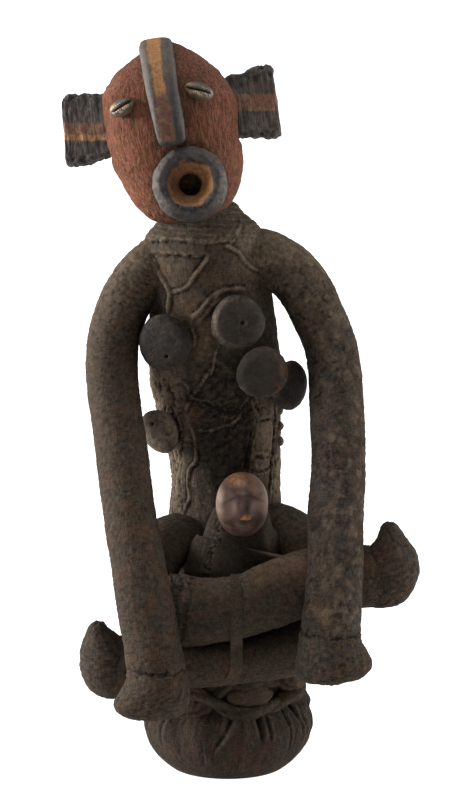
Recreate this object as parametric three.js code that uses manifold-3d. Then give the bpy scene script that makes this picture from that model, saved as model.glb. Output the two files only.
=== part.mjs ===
// A seated effigy of stuffed and sewn cloth. A gathered, tied bundle is its foot, the shins cross
// over it, very long arms reach down in front of them, and flat seeds hang on the corded trunk.
// The red cloth head has a wooden nose bar, a ring mouth, cowrie eyes and blocks of fibre as ears.
// Millimetres, +Z up, the face towards -Y, the origin in the middle of the bundle's flat underside.
// "left" and "right" are those of somebody who looks at the figure's face.

import Module from 'manifold-3d';
import * as THREE from 'three';
import { mergeVertices } from 'three/addons/utils/BufferGeometryUtils.js';

const wasm = await Module();
wasm.setup();

const { abs, asin, cos, max, min, PI, sign, sin, sqrt } = Math;
const radians = THREE.MathUtils.degToRad;

// Driving dimensions
const GAP = 0.3; // left between two pieces that touch
const BUNDLE_HEIGHT = 88;
const BUNDLE_RADIUS = 73;
const BUNDLE_X = -1.5;
const BUNDLE_LEAN = 12; // how far its neck stands behind its foot
const FOOT_RADIUS = 52; // of the flat patch that the figure stands on
const GATHERS = 13; // folds round the tied bundle
const FOLD_DEPTH = { body: 3, neck: 1.3 };
const SASH = { centre: [2, 12, 60], radius: 61, thickness: 11, pitch: radians(4), tilt: radians(13) };
const KNOT = { centre: [52, -28, 78], radius: 13, halfHeight: 14 };
const TRUNK_BASE = BUNDLE_HEIGHT + GAP;
const CORD_RADIUS = 3.4; // of the raised cords and fold edges on the trunk
const CORD_LIFT = 0.4; // of a cord's middle line off the cloth
const HEAD_CENTRE = [-48, 15, 554];
const HEAD_ROLL = radians(8.3); // the crown leans to the left
const HEAD_TILT = radians(12); // the chin is lifted
const HEAD_WIDTH = 117;
const HEAD_DEPTH = { front: 42, back: 46 };
const HEAD_CORNER = 0.88; // below 1 squares the head's sections a little
const HEAD_FULLNESS = 0.72; // below 1 keeps the head deep where it is narrow
const FACE_Y = -37; // of the middle of the mouth ring and of the cowries
const NOSE = { x: -3, width: 27, bevel: 3 };
const MOUTH = { x: 7.7, z: -51, radius: 32.5, pit: 9.4, pitDepth: 24 };
const EAR = { inner: 46, outer: 91, top: 42, bottom: -18, thickness: 18, y: 2, bevel: 2 };
const COWRIES = {
  cowrie_left: { x: -40, z: 21.5, length: 21, width: 15.5, slope: 15 },
  cowrie_right: { x: 27.5, z: 24.5, length: 26, width: 17, slope: -12 },
};
const COWRIE_HALF_DEPTH = 10;
const COWRIE_SLIT = { share: 0.72, depth: 3, height: 1.6 };
const SEED_THICKNESS = 15;
const SEED_PAD = { outer: 9, inner: 15, depth: 16 };
const STRAP = { x: 6.5, width: 11, thickness: 2.6 };
const LAP_HEAD = { centre: [10.7, -34, 238], half: [22.3, 24, 28.5], nod: radians(16), hollow: 1.6 };
const LAP_SPUR = { centre: [34, -45, 196], radius: 2.6, length: 34, turn: radians(-101), flat: 1.6 };

const FRONT = new THREE.Vector3(0, -1, 0);
const UP = new THREE.Vector3(0, 0, 1);

// Stations of the stuffed limbs: x, y, z, half size to the side, half size towards the front
const ARM_LEFT = [
  [-38, 26, 441, 19, 20], [-56, 25, 441, 23, 23], [-75, 22, 429, 24, 24], [-89, 17, 409, 23, 23],
  [-98, 9, 382, 22.5, 22], [-101, 0, 356, 22.5, 22], [-98.5, -13, 325, 22.5, 22],
  [-93, -34, 286, 23, 22], [-89.5, -52, 257, 22.5, 22], [-85, -70, 230, 23, 22],
  [-79, -86, 202, 23.5, 23], [-73, -99, 171, 24, 23], [-68, -106, 147, 24.5, 23],
  [-63, -111, 122, 24.5, 23], [-60, -113, 100, 21, 21],
];
const ARM_RIGHT = [
  [0, 26, 441, 20, 20], [25, 25, 443, 24, 24], [50, 22, 432, 24, 24.5], [66, 17, 415, 24, 24],
  [78, 11, 393, 24, 23.5], [89, 0, 363, 24, 23], [91, -13, 327, 24.5, 23], [92, -30, 294, 24.5, 23],
  [91.5, -47, 264, 24, 23], [89, -64, 237, 24, 23], [89, -82, 201, 24, 23], [87, -94, 169, 24.5, 23.5],
  [86, -100, 149, 26, 24], [86, -104, 127, 23, 22],
];
const HAND_LEFT = [
  [-98, -114, 80, 3, 4], [-93, -114, 82, 8, 10], [-84, -114, 87, 15, 17], [-70, -114, 92, 20, 22],
  [-56, -114, 93, 21, 24], [-41, -112, 93, 19.5, 23], [-30, -110, 92, 13, 17],
];
const HAND_RIGHT = [
  [51, -104, 118, 10, 14], [60, -106, 120, 17, 21], [74, -107, 122, 21, 24], [88, -107, 123, 22.5, 24.5],
  [101, -107, 122, 19.5, 22], [112, -107, 119, 13.5, 16], [119, -107, 117, 5, 6],
];
const FOOT_LEFT = [
  [-103, -52, 73, 5, 7], [-106, -52, 78, 10, 12], [-110, -52, 88, 13, 18], [-113, -52, 101, 15, 22],
  [-113, -53, 115, 15, 21], [-112, -54, 128, 12, 16], [-112.5, -55, 136, 7, 10],
  [-112, -55, 141, 4, 6],
];
const FOOT_RIGHT = [
  [137, -54, 156, 5, 7], [139, -54, 161, 11, 14], [142, -54, 170, 16, 20], [143, -54, 184, 18.5, 23],
  [141, -54, 199, 18.5, 22], [138, -55, 212, 14, 18], [137, -56, 222, 8, 11], [137, -56, 228, 3.5, 5],
];

// Stations of the legs: x, y, z, half size to the side, half height. A folded knee is a seam, so
// each leg is a thigh and a shin sewn together there.
const LEG_UPPER = {
  thigh: [
    [-18, 24, 206, 24, 21], [-38, 12, 204, 25, 21], [-56, -6, 199, 26, 22], [-68, -27, 183, 25, 23],
    [-66, -46, 163, 23, 23],
  ],
  shin: [
    [-74, -50, 156, 20, 20], [-54, -53, 152, 26, 24], [-38, -55, 151, 29, 26],
    [-16, -57, 151, 30, 26.5], [9, -57, 154, 30, 27], [36, -56, 164, 30, 28],
    [60, -55, 173, 30, 28.5], [90, -54, 179, 29, 28.5], [115, -54, 181, 28, 28],
    [131, -54, 182, 25, 26],
  ],
};
const LEG_LOWER = {
  thigh: [
    [16, 24, 212, 24, 21], [37, 13, 212, 25, 21], [57, -4, 205, 26, 22], [72, -22, 184, 25, 24],
    [78, -37, 154, 25, 24], [76, -45, 128, 22, 22],
  ],
  shin: [
    [90, -46, 123, 22, 18], [72, -47, 116, 27, 22], [46, -47, 108, 28, 21.5], [18, -47, 105, 27, 20.5],
    [-17, -47, 103, 27, 20.5], [-51, -48, 102, 27, 21.5], [-85, -50, 103, 27, 24],
    [-104, -51, 104, 25, 23],
  ],
};

// Stations of the trunk, from the seat up: x, y, z, half width, half depth
const TRUNK = [
  [-2, 26, 60, 40, 36], [-2, 28, 105, 51, 42], [-3, 31, 160, 55, 43], [-4, 32, 205, 51, 41],
  [-3, 32, 237, 48.5, 39], [-4, 31, 273, 49.5, 39], [-10, 30, 315, 54.5, 41],
  [-13, 28, 350, 57, 43], [-15.5, 27, 400, 55, 43], [-20, 26, 436, 51, 40],
  [-25, 25, 466, 43, 36], [-31, 25, 488, 34, 32],
];

// Stations of the small lap figure's wrapped body, from the seat up
const LAP_BODY = [
  [6, -22, 112, 26, 8], [6, -24, 136, 39, 14], [6, -25, 162, 45, 17], [6, -26, 180, 45, 18],
  [6, -26, 192, 41, 17], [9, -25, 204, 35, 16.5], [9, -24, 216, 29, 16], [10, -23, 229, 24, 15],
  [11, -22, 243, 18, 12],
];

// The gathered bundle from its neck to its foot: height, and share of the full radius
const BUNDLE_PROFILE = [
  [94, 0], [94, 0.6], [86, 0.84], [74, 0.8], [62, 0.8], [53, 0.91], [43, 1], [31, 0.995],
  [18, 0.935], [7, 0.83], [0, FOOT_RADIUS / BUNDLE_RADIUS], [-6, 0.6], [-6, 0],
];

// The head from crown to chin: height, half width, and how far its middle moves to the right
const HEAD_PROFILE = [
  [75, 0, 0], [73, 11, 1], [69, 21, 1.5], [61, 32, 1.5], [50, 43.5, 1], [36, 53.5, 0], [16, 58.5, 0],
  [-6, 58.5, 0], [-24, 57, 0.5], [-38, 53.5, 1.5], [-54, 48.5, 2.5], [-70, 38, 3], [-80, 27, 2],
  [-85, 14, 1], [-86, 0, 0],
];

// The nose bar seen from its side: distance behind the head's centre plane, and height
const NOSE_OUTLINE = [
  [12, 63], [6, 72], [-4, 76.5], [-16, 76], [-28, 71], [-38, 64], [-46, 55], [-52, 44], [-56, 31],
  [-59, 18], [-61.5, 4], [-62.5, -8], [-60, -15.5], [-50, -17], [-30, -16.5], [-22, 12], [-14, 48],
];

// Half the mouth ring cut through: distance from its axis, and how far it stands out of the face
const MOUTH_PROFILE = [
  [MOUTH.pit, -16], [MOUTH.radius, -16], [MOUTH.radius + 0.5, 8], [MOUTH.radius - 2, 15],
  [MOUTH.radius - 6, 18.5], [MOUTH.radius - 11, 16], [MOUTH.radius - 16, 7], [MOUTH.pit, -2],
  [MOUTH.pit, -16],
];

// Raised cords and fold edges on the trunk: points as x and z, which a line then joins on the cloth
const TRUNK_CORDS = {
  left_shoulder_strap: [[-68, 473], [-66, 459], [-62, 442], [-59, 428], [-53, 417], [-52, 405], [-54, 396]],
  vee: [[-53, 417], [-46, 420], [-33, 428], [-25, 441], [-18, 452]],
  collar_band: [[-71, 448], [-51, 452], [-34, 451], [-18, 450]],
  right_flap: [[0, 463], [-5, 457], [6, 451], [13, 442], [23, 435], [29, 446], [31, 458], [27, 469]],
  crescent: [[15, 421], [5, 421], [-7, 415], [-17, 406], [-23, 398], [-32, 393], [-42, 394]],
  middle: [[-32, 394], [-30, 382], [-28, 371]],
  centre: [[-11, 369], [-13, 353], [-23, 342], [-32, 328], [-38, 313]],
  cross: [[-39, 343], [-32, 334], [-25, 327], [-12, 323]],
  right_low: [[14, 330], [23, 315], [24, 300], [21, 281], [17, 262], [16, 250]],
  right_outer: [[40, 326], [40, 300], [39, 276], [36, 252], [36, 232]],
  upper_bar: [[22, 307], [40, 304]],
  middle_bar: [[19, 277], [40, 273]],
  left_low: [[-30, 318], [-29, 289], [-31, 269], [-36, 252], [-35, 238], [-39, 228]],
  left_flank: [[-51, 321], [-44, 310], [-41, 295], [-43, 278], [-46, 259], [-45, 232]],
  belly_line: [[-29, 298], [-12, 304], [5, 309], [16, 300], [18, 284]],
  flank_edge: [[-62, 346], [-61, 334], [-55, 322], [-50, 314]],
};

// Cords across the plain back: points as the angle from the front, in degrees, and the height
const BACK_CORDS = [
  [[-79, 470], [-120, 478], [-160, 470]],
  [[-110, 300], [-150, 318], [170, 322], [128, 308]],
  [[-150, 440], [-165, 380], [-158, 330]],
];

// The flat dark seeds hung on the trunk
const SEEDS = {
  seed_a: { centre: [-53, -17, 378], radius: 24.5, facing: [-0.32, -0.94, 0.06] },
  seed_b: { centre: [7, -23, 394], radius: 23.5, facing: [0.12, -0.98, 0.05] },
  seed_c: { centre: [28, -25, 351], radius: 23, facing: [0.2, -0.96, -0.12] },
  seed_d: { centre: [48.5, 4, 335.5], radius: 21.5, facing: [0.8, -0.6, 0] },
  seed_e: { centre: [-60, 0, 298], radius: 20.5, facing: [-0.66, -0.72, -0.2] },
};

// Values of the stations at t between 0 and 1, on one smooth curve through all of them.
function between(stations, t) {
  const last = stations.length - 1;
  const place = min(t * last, last - 1e-9);
  const index = Math.floor(place);
  const f = place - index;
  const row = (step) => stations[max(0, min(last, index + step))];
  return stations[0].map((_, column) => {
    const [p, q, r, s] = [-1, 0, 1, 2].map((step) => row(step)[column]);
    return q + 0.5 * f * (r - p + f * (2 * p - 5 * q + 4 * r - s + f * (3 * (q - r) + s - p)));
  });
}

// A closed skin: place(turn, length) gives the point for values from 0 to 1, and all turns meet
// in one point at both ends of the length.
function skin(around, along, place) {
  const geometry = new THREE.SphereGeometry(1, around, along);
  const { position, uv } = geometry.attributes;
  for (let i = 0; i < position.count; i += 1) {
    const length = 1 - uv.getY(i);
    const atPole = length < 1e-6 || length > 1 - 1e-6;
    const turn = atPole ? 0 : uv.getX(i) % 1;
    position.setXYZ(i, ...place(turn, length));
  }
  return geometry;
}

// How far a stuffed end has opened, from 0 at its tip to 1 where the length reaches cap.
function opening(length, cap) {
  const closed = max(0, 1 - length / cap);
  return sqrt(max(0, 1 - closed * closed));
}

// A stuffed sleeve along stations, with rounded ends. Its sections are ellipses that stand across
// the way it runs and keep one axis towards the given direction.
function sleeve(stations, towards, { around = 12, along = 16, cap = 0.1, grow = 0 } = {}) {
  const step = 1e-3;
  return skin(around, along, (turn, length) => {
    const t = 0.5 * (1 - cos(PI * length));
    const [x, y, z, side, front] = between(stations, t);
    const before = new THREE.Vector3(...between(stations, max(0, t - step)));
    const way = new THREE.Vector3(...between(stations, min(1, t + step))).sub(before).normalize();
    const across = way.clone().cross(towards).normalize();
    const outward = across.clone().cross(way);
    const open = min(opening(t, cap), opening(1 - t, cap));
    const angle = 2 * PI * turn;
    return new THREE.Vector3(x, y, z)
      .addScaledVector(across, (side + grow) * open * cos(angle))
      .addScaledVector(outward, (front + grow) * open * sin(angle))
      .addScaledVector(way, grow * (1 - open) * sign(t - 0.5));
  });
}

// A geometry as a solid that can be joined and cut
function solid(geometry) {
  const plain = geometry.clone();
  plain.deleteAttribute('normal');
  plain.deleteAttribute('uv');
  const merged = mergeVertices(plain);
  return new wasm.Manifold(new wasm.Mesh({
    numProp: 3,
    vertProperties: new Float32Array(merged.attributes.position.array),
    triVerts: new Uint32Array(merged.index.array),
  }));
}

// A solid as a named mesh
function piece(name, body, material) {
  const { vertProperties, triVerts } = body.getMesh();
  const geometry = new THREE.BufferGeometry();
  geometry.setAttribute('position', new THREE.BufferAttribute(vertProperties, 3));
  geometry.setIndex(new THREE.BufferAttribute(triVerts, 1));
  geometry.computeVertexNormals();
  const mesh = new THREE.Mesh(geometry, material);
  mesh.name = name;
  return mesh;
}

// What is left of a solid once others have pressed into it, without the crumbs
function pressed(body, ...others) {
  const rest = others.reduce((left, other) => left.subtract(other), body);
  return rest.decompose().reduce((most, part) => (part.volume() > most.volume() ? part : most));
}

// A box of the given size about a centre
function block(size, centre) {
  return solid(new THREE.BoxGeometry(...size).translate(...centre));
}

// All that is higher than a level, and all that is lower, near the figure's foot
const above = (level) => block([300, 300, 200], [0, 0, level + 100]);
const below = (level) => block([300, 300, 200], [0, 0, level - 100]);

// A cord along a line of points, its section square
function cord(points, radius) {
  const path = new THREE.CatmullRomCurve3(points.map((point) => new THREE.Vector3(...point)));
  const corners = [[radius, 0], [0, radius], [-radius, 0], [0, -radius]];
  const section = new THREE.Shape(corners.map(([u, v]) => new THREE.Vector2(u, v)));
  const steps = points.length - 1;
  return solid(new THREE.ExtrudeGeometry(section, { steps, bevelEnabled: false, extrudePath: path }));
}

// A point on the trunk's cloth at an angle from the front, lifted off the cloth
function onTrunk(angle, height, lift) {
  let [low, high] = [0, 1];
  for (let i = 0; i < 30; i += 1) {
    const middle = (low + high) / 2;
    if (between(TRUNK, middle)[2] < height) low = middle;
    else high = middle;
  }
  const [x, y, , side, front] = between(TRUNK, low);
  return [x + (side + lift) * sin(angle), y - (front + lift) * cos(angle), height];
}

// The cord on the trunk through [angle, height] points. Its ends dip into the cloth.
function trunkCord(points, grow) {
  const last = points.length - 1;
  const lifted = points.map(([angle, height], i) => (
    onTrunk(angle, height, i % last ? CORD_LIFT : -CORD_RADIUS)
  ));
  return cord(lifted, CORD_RADIUS + grow);
}

// The angle from the front at which a point x lies on the trunk at a height
function trunkAngle(x, height) {
  const [left] = onTrunk(-PI / 2, height, 0);
  const [right] = onTrunk(PI / 2, height, 0);
  return asin(max(-0.985, min(0.985, (2 * x - left - right) / (right - left))));
}

// The cloth trunk without what is on it
function bareTrunk(grow) {
  return solid(sleeve(TRUNK, FRONT, { around: 18, along: 13, cap: 0.04, grow }));
}

// The trunk with its raised cords and the pads that hold the seeds off it
function trunk(grow) {
  const front = Object.values(TRUNK_CORDS).map((points) => (
    trunkCord(points.map(([x, z]) => [trunkAngle(x, z), z]), grow)
  ));
  const back = BACK_CORDS.map((points) => (
    trunkCord(points.map(([degrees, z]) => [radians((degrees + 360) % 360), z]), grow)
  ));
  const pads = Object.values(SEEDS).map((shape) => seedPad(shape, grow));
  return [...front, ...back, ...pads].reduce((body, part) => body.add(part), bareTrunk(grow));
}

// The turn that brings the +Y axis to a facing
function turnTo(facing) {
  const target = new THREE.Vector3(...facing).normalize();
  return new THREE.Quaternion().setFromUnitVectors(new THREE.Vector3(0, 1, 0), target);
}

// The pad of crusted cloth behind a seed, from inside the trunk to the seed's back
function seedPad({ centre, facing }, grow) {
  const { outer, inner, depth } = SEED_PAD;
  const pad = new THREE.CylinderGeometry(outer + grow, inner + grow, depth, 8);
  pad.translate(0, -(depth + SEED_THICKNESS) / 2 - GAP, 0);
  return solid(pad.applyQuaternion(turnTo(facing)).translate(...centre));
}

// A lens-shaped seed
function seed({ centre, radius, facing }, grow = 0) {
  const lens = new THREE.SphereGeometry(1, 12, 5);
  lens.scale(radius + grow, SEED_THICKNESS / 2 + grow, radius + grow);
  return solid(lens.applyQuaternion(turnTo(facing)).translate(...centre));
}

// The gathered bundle, with folds that run out before its flat underside
function bundle() {
  const cloth = skin(2 * GATHERS, 12, (turn, length) => {
    const [z, share] = between(BUNDLE_PROFILE, length);
    const angle = 2 * PI * turn;
    const depth = z < 50 ? FOLD_DEPTH.body * max(0, min(1, (z - 6) / 36)) : FOLD_DEPTH.neck;
    const fold = depth * (cos(GATHERS * angle) * (1 + 0.5 * sin(3 * angle)) + 0.4 * cos(5 * angle + 1));
    const radius = max(0, share * BUNDLE_RADIUS + (share > 0 ? fold : 0));
    const lean = BUNDLE_LEAN * max(0, z / BUNDLE_HEIGHT);
    return new THREE.Vector3(BUNDLE_X + radius * cos(angle), lean + radius * sin(angle), z);
  });
  return solid(cloth).subtract(above(BUNDLE_HEIGHT)).subtract(below(0));
}

// One turn of the twisted sash round the bundle's neck, tilted so that two of them cross in front
function sashTurn(tilt, grow) {
  const ring = new THREE.TorusGeometry(SASH.radius, SASH.thickness / 2 + grow, 4, 20);
  ring.rotateX(SASH.pitch).rotateY(tilt);
  return solid(ring.translate(...SASH.centre));
}

// The sash: two crossing turns and the knot that ties them at the right
function sash(grow = 0) {
  const knot = skin(8, 6, (turn, length) => {
    const angle = 2 * PI * turn;
    const girth = (KNOT.radius + grow) * sin(PI * length) * (1 + 0.15 * cos(3 * angle));
    const rise = (KNOT.halfHeight + grow) * cos(PI * length);
    return new THREE.Vector3(girth * cos(angle), 0.9 * girth * sin(angle), rise);
  });
  knot.translate(...KNOT.centre);
  return sashTurn(SASH.tilt, grow).add(sashTurn(-SASH.tilt, grow)).add(solid(knot));
}

// The stuffed head in its own frame: an egg that is widest at the cowries and narrows to the chin
function headSkin(grow = 0) {
  const widest = HEAD_WIDTH / 2;
  return solid(skin(18, 15, (turn, length) => {
    const t = 0.65 * length + 0.175 * (1 - cos(PI * length));
    const [z, halfWidth, shift] = between(HEAD_PROFILE, t);
    const share = max(0, halfWidth / widest);
    const angle = 2 * PI * turn;
    const corner = (value) => sign(value) * abs(value) ** HEAD_CORNER;
    const depth = sin(angle) > 0 ? HEAD_DEPTH.back : HEAD_DEPTH.front;
    const wider = grow * min(1, share * 4);
    const x = (share * widest + wider) * corner(cos(angle));
    const y = (depth * share ** HEAD_FULLNESS + wider) * corner(sin(angle));
    return new THREE.Vector3(x + shift, y, z + grow * (1 - share) * sign(z));
  }));
}

// A flat outline made a slab with bevelled edges, its middle plane at 0
function slab(outline, thickness, bevel) {
  const geometry = new THREE.ExtrudeGeometry(
    new THREE.Shape(outline.map(([u, v]) => new THREE.Vector2(u, v))),
    {
      depth: thickness - 2 * bevel,
      bevelThickness: bevel,
      bevelSize: bevel,
      bevelOffset: -bevel,
      bevelSegments: 1,
    },
  );
  return geometry.translate(0, 0, bevel - thickness / 2);
}

// The straight wooden bar from the crown to the nostrils
function noseBar() {
  const bar = slab(NOSE_OUTLINE, NOSE.width, NOSE.bevel);
  bar.rotateX(PI / 2).rotateZ(PI / 2);
  return solid(bar.translate(NOSE.x, 0, 0));
}

// The round wooden mouth, a ring with a funnel that leads to a dark hole
function mouthRing() {
  const profile = MOUTH_PROFILE.map(([r, height]) => new THREE.Vector2(r, height));
  const ring = new THREE.LatheGeometry(profile, 18);
  ring.rotateX(PI);
  return solid(ring.translate(MOUTH.x, FACE_Y, MOUTH.z));
}

// The hole behind the mouth
function mouthPit() {
  const hole = new THREE.CylinderGeometry(MOUTH.pit, MOUTH.pit, 2 * MOUTH.pitDepth, 20);
  return solid(hole.translate(MOUTH.x, FACE_Y, MOUTH.z));
}

// A block of upright fibres at one side of the head, a little flared outwards
function ear(side) {
  const { inner, outer, top, bottom, thickness, bevel } = EAR;
  const fibres = slab([
    [inner, top - 6],
    [inner, bottom + 5],
    [outer, bottom],
    [outer + 1, 0.5 * (top + bottom)],
    [outer - 1, top],
  ], thickness, bevel);
  fibres.rotateX(PI / 2);
  if (side < 0) fibres.rotateZ(PI);
  return solid(fibres.translate(0, EAR.y, 0));
}

// A cowrie shell with its slit open towards the front
function cowrie({ x, z, length, width, slope }) {
  const shell = new THREE.SphereGeometry(1, 10, 8);
  shell.scale(length / 2, COWRIE_HALF_DEPTH, width / 2);
  const { share, depth, height } = COWRIE_SLIT;
  const slit = block([share * length, 2 * depth, height], [0, -COWRIE_HALF_DEPTH, 0]);
  const open = solid(shell).subtract(slit);
  return open.rotate([0, -slope, 0]).translate([x, FACE_Y, z]);
}

// The egg-shaped wooden head of the small lap figure: shallow eye hollows, a nose and a chin
function lapHead(grow = 0) {
  const [halfWidth, halfDepth, halfHeight] = LAP_HEAD.half;
  const egg = skin(14, 11, (turn, length) => {
    const angle = 2 * PI * turn;
    const height = cos(PI * length);
    const girth = sin(PI * length) * (1 + 0.08 * height);
    const facing = max(0, sin(angle)) ** 2;
    const hollow = facing * LAP_HEAD.hollow * Math.exp(-(((height + 0.1) / 0.3) ** 2));
    const x = (halfWidth * girth + grow) * cos(angle);
    const y = -((halfDepth * girth + grow) * sin(angle) - hollow);
    return new THREE.Vector3(-x, y, (halfHeight + grow) * height);
  });
  egg.rotateX(-LAP_HEAD.nod);
  return solid(egg.translate(...LAP_HEAD.centre));
}

// The thin pointed sliver that sticks out of the lap figure's side
function lapSpur(grow = 0) {
  const spur = new THREE.ConeGeometry(LAP_SPUR.radius + grow, LAP_SPUR.length + 2 * grow, 8);
  spur.rotateZ(LAP_SPUR.turn).scale(1, LAP_SPUR.flat, 1);
  return solid(spur.translate(...LAP_SPUR.centre));
}

// A leg, its thigh and its shin joined at the knee
function leg({ thigh, shin }, grow = 0) {
  const folded = solid(sleeve(thigh, UP, { around: 10, along: 7, cap: 0.25, grow }));
  return folded.add(solid(sleeve(shin, UP, { around: 12, along: 10, cap: 0.1, grow })));
}

function bothLegs(grow) {
  return leg(LEG_UPPER, grow).add(leg(LEG_LOWER, grow));
}

// The flat strap that binds both shins: a thin shell round them, as wide as the strap
function legStrap(grow = 0) {
  const slice = block([STRAP.width + 2 * grow, 200, 200], [STRAP.x, -50, 130]);
  const shell = bothLegs(STRAP.thickness + GAP + grow).subtract(bothLegs(GAP - grow));
  return shell.intersect(slice);
}

const cloth = new THREE.MeshStandardMaterial({ color: 0x4a3d33, roughness: 0.92, metalness: 0 });
const crustedCloth = new THREE.MeshStandardMaterial({ color: 0x54463a, roughness: 0.95, metalness: 0 });
const redCloth = new THREE.MeshStandardMaterial({ color: 0x6b3020, roughness: 0.95, metalness: 0 });
const paintedWood = new THREE.MeshStandardMaterial({ color: 0x3a3433, roughness: 0.7, metalness: 0 });
const fibre = new THREE.MeshStandardMaterial({ color: 0x463a3c, roughness: 0.95, metalness: 0 });
const shellWhite = new THREE.MeshStandardMaterial({ color: 0xb09a7c, roughness: 0.45, metalness: 0 });
const seedBrown = new THREE.MeshStandardMaterial({ color: 0x33291f, roughness: 0.6, metalness: 0 });
const polishedWood = new THREE.MeshStandardMaterial({ color: 0x4c2e22, roughness: 0.4, metalness: 0 });

// The head and what is fixed to it stand in one turned group
const headGroup = new THREE.Group();
headGroup.position.set(...HEAD_CENTRE);
headGroup.rotation.set(-HEAD_TILT, -HEAD_ROLL, 0, 'YXZ');
headGroup.updateMatrixWorld();
const headCut = headSkin(GAP);
headGroup.add(
  piece('head', headSkin().subtract(mouthPit()), redCloth),
  piece('nose_bar', pressed(noseBar(), headCut), paintedWood),
  piece('mouth_ring', pressed(mouthRing(), headCut), paintedWood),
  piece('ear_left', pressed(ear(-1), headCut), fibre),
  piece('ear_right', pressed(ear(1), headCut), fibre),
  ...Object.entries(COWRIES).map(([name, shape]) => (
    piece(name, pressed(cowrie(shape), headCut), shellWhite)
  )),
);

// What each piece is pressed by: a neighbour grown by the gap between them
const seeds = Object.entries(SEEDS);
const seedCuts = seeds.map(([, shape]) => seed(shape, GAP));
const headPrint = headCut.transform(headGroup.matrixWorld.elements);
const trunkCut = trunk(GAP);
const limb = (stations, grow) => solid(sleeve(stations, FRONT, { cap: 0.07, grow }));
const mitt = (stations, grow) => solid(sleeve(stations, FRONT, { along: 8, cap: 0.12, grow }));
const footCuts = [mitt(FOOT_LEFT, GAP), mitt(FOOT_RIGHT, GAP)];
const handCuts = [mitt(HAND_LEFT, GAP), mitt(HAND_RIGHT, GAP)];
const seatCut = bareTrunk(GAP);
const upperLeg = pressed(leg(LEG_UPPER), seatCut, footCuts[1]);
const upperCut = leg(LEG_UPPER, GAP);
const lowerLeg = pressed(leg(LEG_LOWER), seatCut, upperCut, footCuts[0]);
const legCuts = [upperCut, leg(LEG_LOWER, GAP)];
const arm = (stations) => pressed(limb(stations, 0), trunkCut, ...legCuts, ...handCuts, ...seedCuts);
const strapCut = legStrap(GAP);
const lapPrints = [...legCuts, strapCut, lapHead(GAP), lapSpur(GAP)];
const lapBody = solid(sleeve(LAP_BODY, FRONT, { around: 12, along: 7, cap: 0.1 }));

const figure = new THREE.Group();
figure.add(
  piece('base_bundle', pressed(bundle(), sash(GAP), ...legCuts, strapCut), cloth),
  piece('base_sash', pressed(sash(), ...legCuts), cloth),
  piece('torso', pressed(trunk(0), headPrint, below(TRUNK_BASE)), crustedCloth),
  piece('arm_left', arm(ARM_LEFT), cloth),
  piece('arm_right', arm(ARM_RIGHT), cloth),
  piece('hand_left', mitt(HAND_LEFT, 0), cloth),
  piece('hand_right', mitt(HAND_RIGHT, 0), cloth),
  piece('leg_upper', upperLeg, cloth),
  piece('leg_lower', lowerLeg, cloth),
  piece('foot_left', mitt(FOOT_LEFT, 0), cloth),
  piece('foot_right', mitt(FOOT_RIGHT, 0), cloth),
  piece('leg_strap', pressed(legStrap(), seatCut), cloth),
  piece('lap_body', pressed(lapBody, seatCut, ...lapPrints), cloth),
  piece('lap_head', lapHead(), polishedWood),
  piece('lap_spur', pressed(lapSpur(), ...legCuts), polishedWood),
  ...seeds.map(([name, shape]) => piece(name, seed(shape), seedBrown)),
  headGroup,
);

export default figure;
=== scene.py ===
"""The looks of a seated effigy of stuffed, sewn cloth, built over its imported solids.

Every visible piece is a fine grid surface that repeats the named stations of its solid and adds
the finer relief: cords, stitches, creases, crust and fibres. Shapes are worked out in millimetres
and written to the meshes in metres. "left" and "right" are those of somebody who looks at the face.
"""

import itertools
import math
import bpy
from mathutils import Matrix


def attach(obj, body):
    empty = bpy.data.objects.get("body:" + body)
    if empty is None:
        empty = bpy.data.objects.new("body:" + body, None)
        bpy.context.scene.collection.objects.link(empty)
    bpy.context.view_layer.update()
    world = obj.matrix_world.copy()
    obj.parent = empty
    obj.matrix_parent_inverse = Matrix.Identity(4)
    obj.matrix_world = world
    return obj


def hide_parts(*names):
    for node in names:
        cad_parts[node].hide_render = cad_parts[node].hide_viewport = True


bl_info = {
    "name": "Seated cloth effigy",
    "version": (1, 0, 0),
    "blender": (4, 5, 0),
    "location": "View3D > Sidebar > Effigy",
    "description": "Builds the cloth, wood, fibre, shell and seed surfaces of a seated effigy",
    "category": "Object",
}

import bpy
import numpy as np
from bpy.props import FloatProperty, FloatVectorProperty, PointerProperty
from mathutils import Vector

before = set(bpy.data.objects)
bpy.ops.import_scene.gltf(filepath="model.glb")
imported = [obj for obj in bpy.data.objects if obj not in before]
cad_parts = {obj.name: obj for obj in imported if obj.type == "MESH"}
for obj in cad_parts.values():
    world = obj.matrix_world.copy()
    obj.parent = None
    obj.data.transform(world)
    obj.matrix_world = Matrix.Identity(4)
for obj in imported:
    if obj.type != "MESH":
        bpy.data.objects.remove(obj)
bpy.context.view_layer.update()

MM = 0.001
PI = math.pi
FRONT = np.array([0.0, -1.0, 0.0])
UP = np.array([0.0, 0.0, 1.0])

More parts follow.
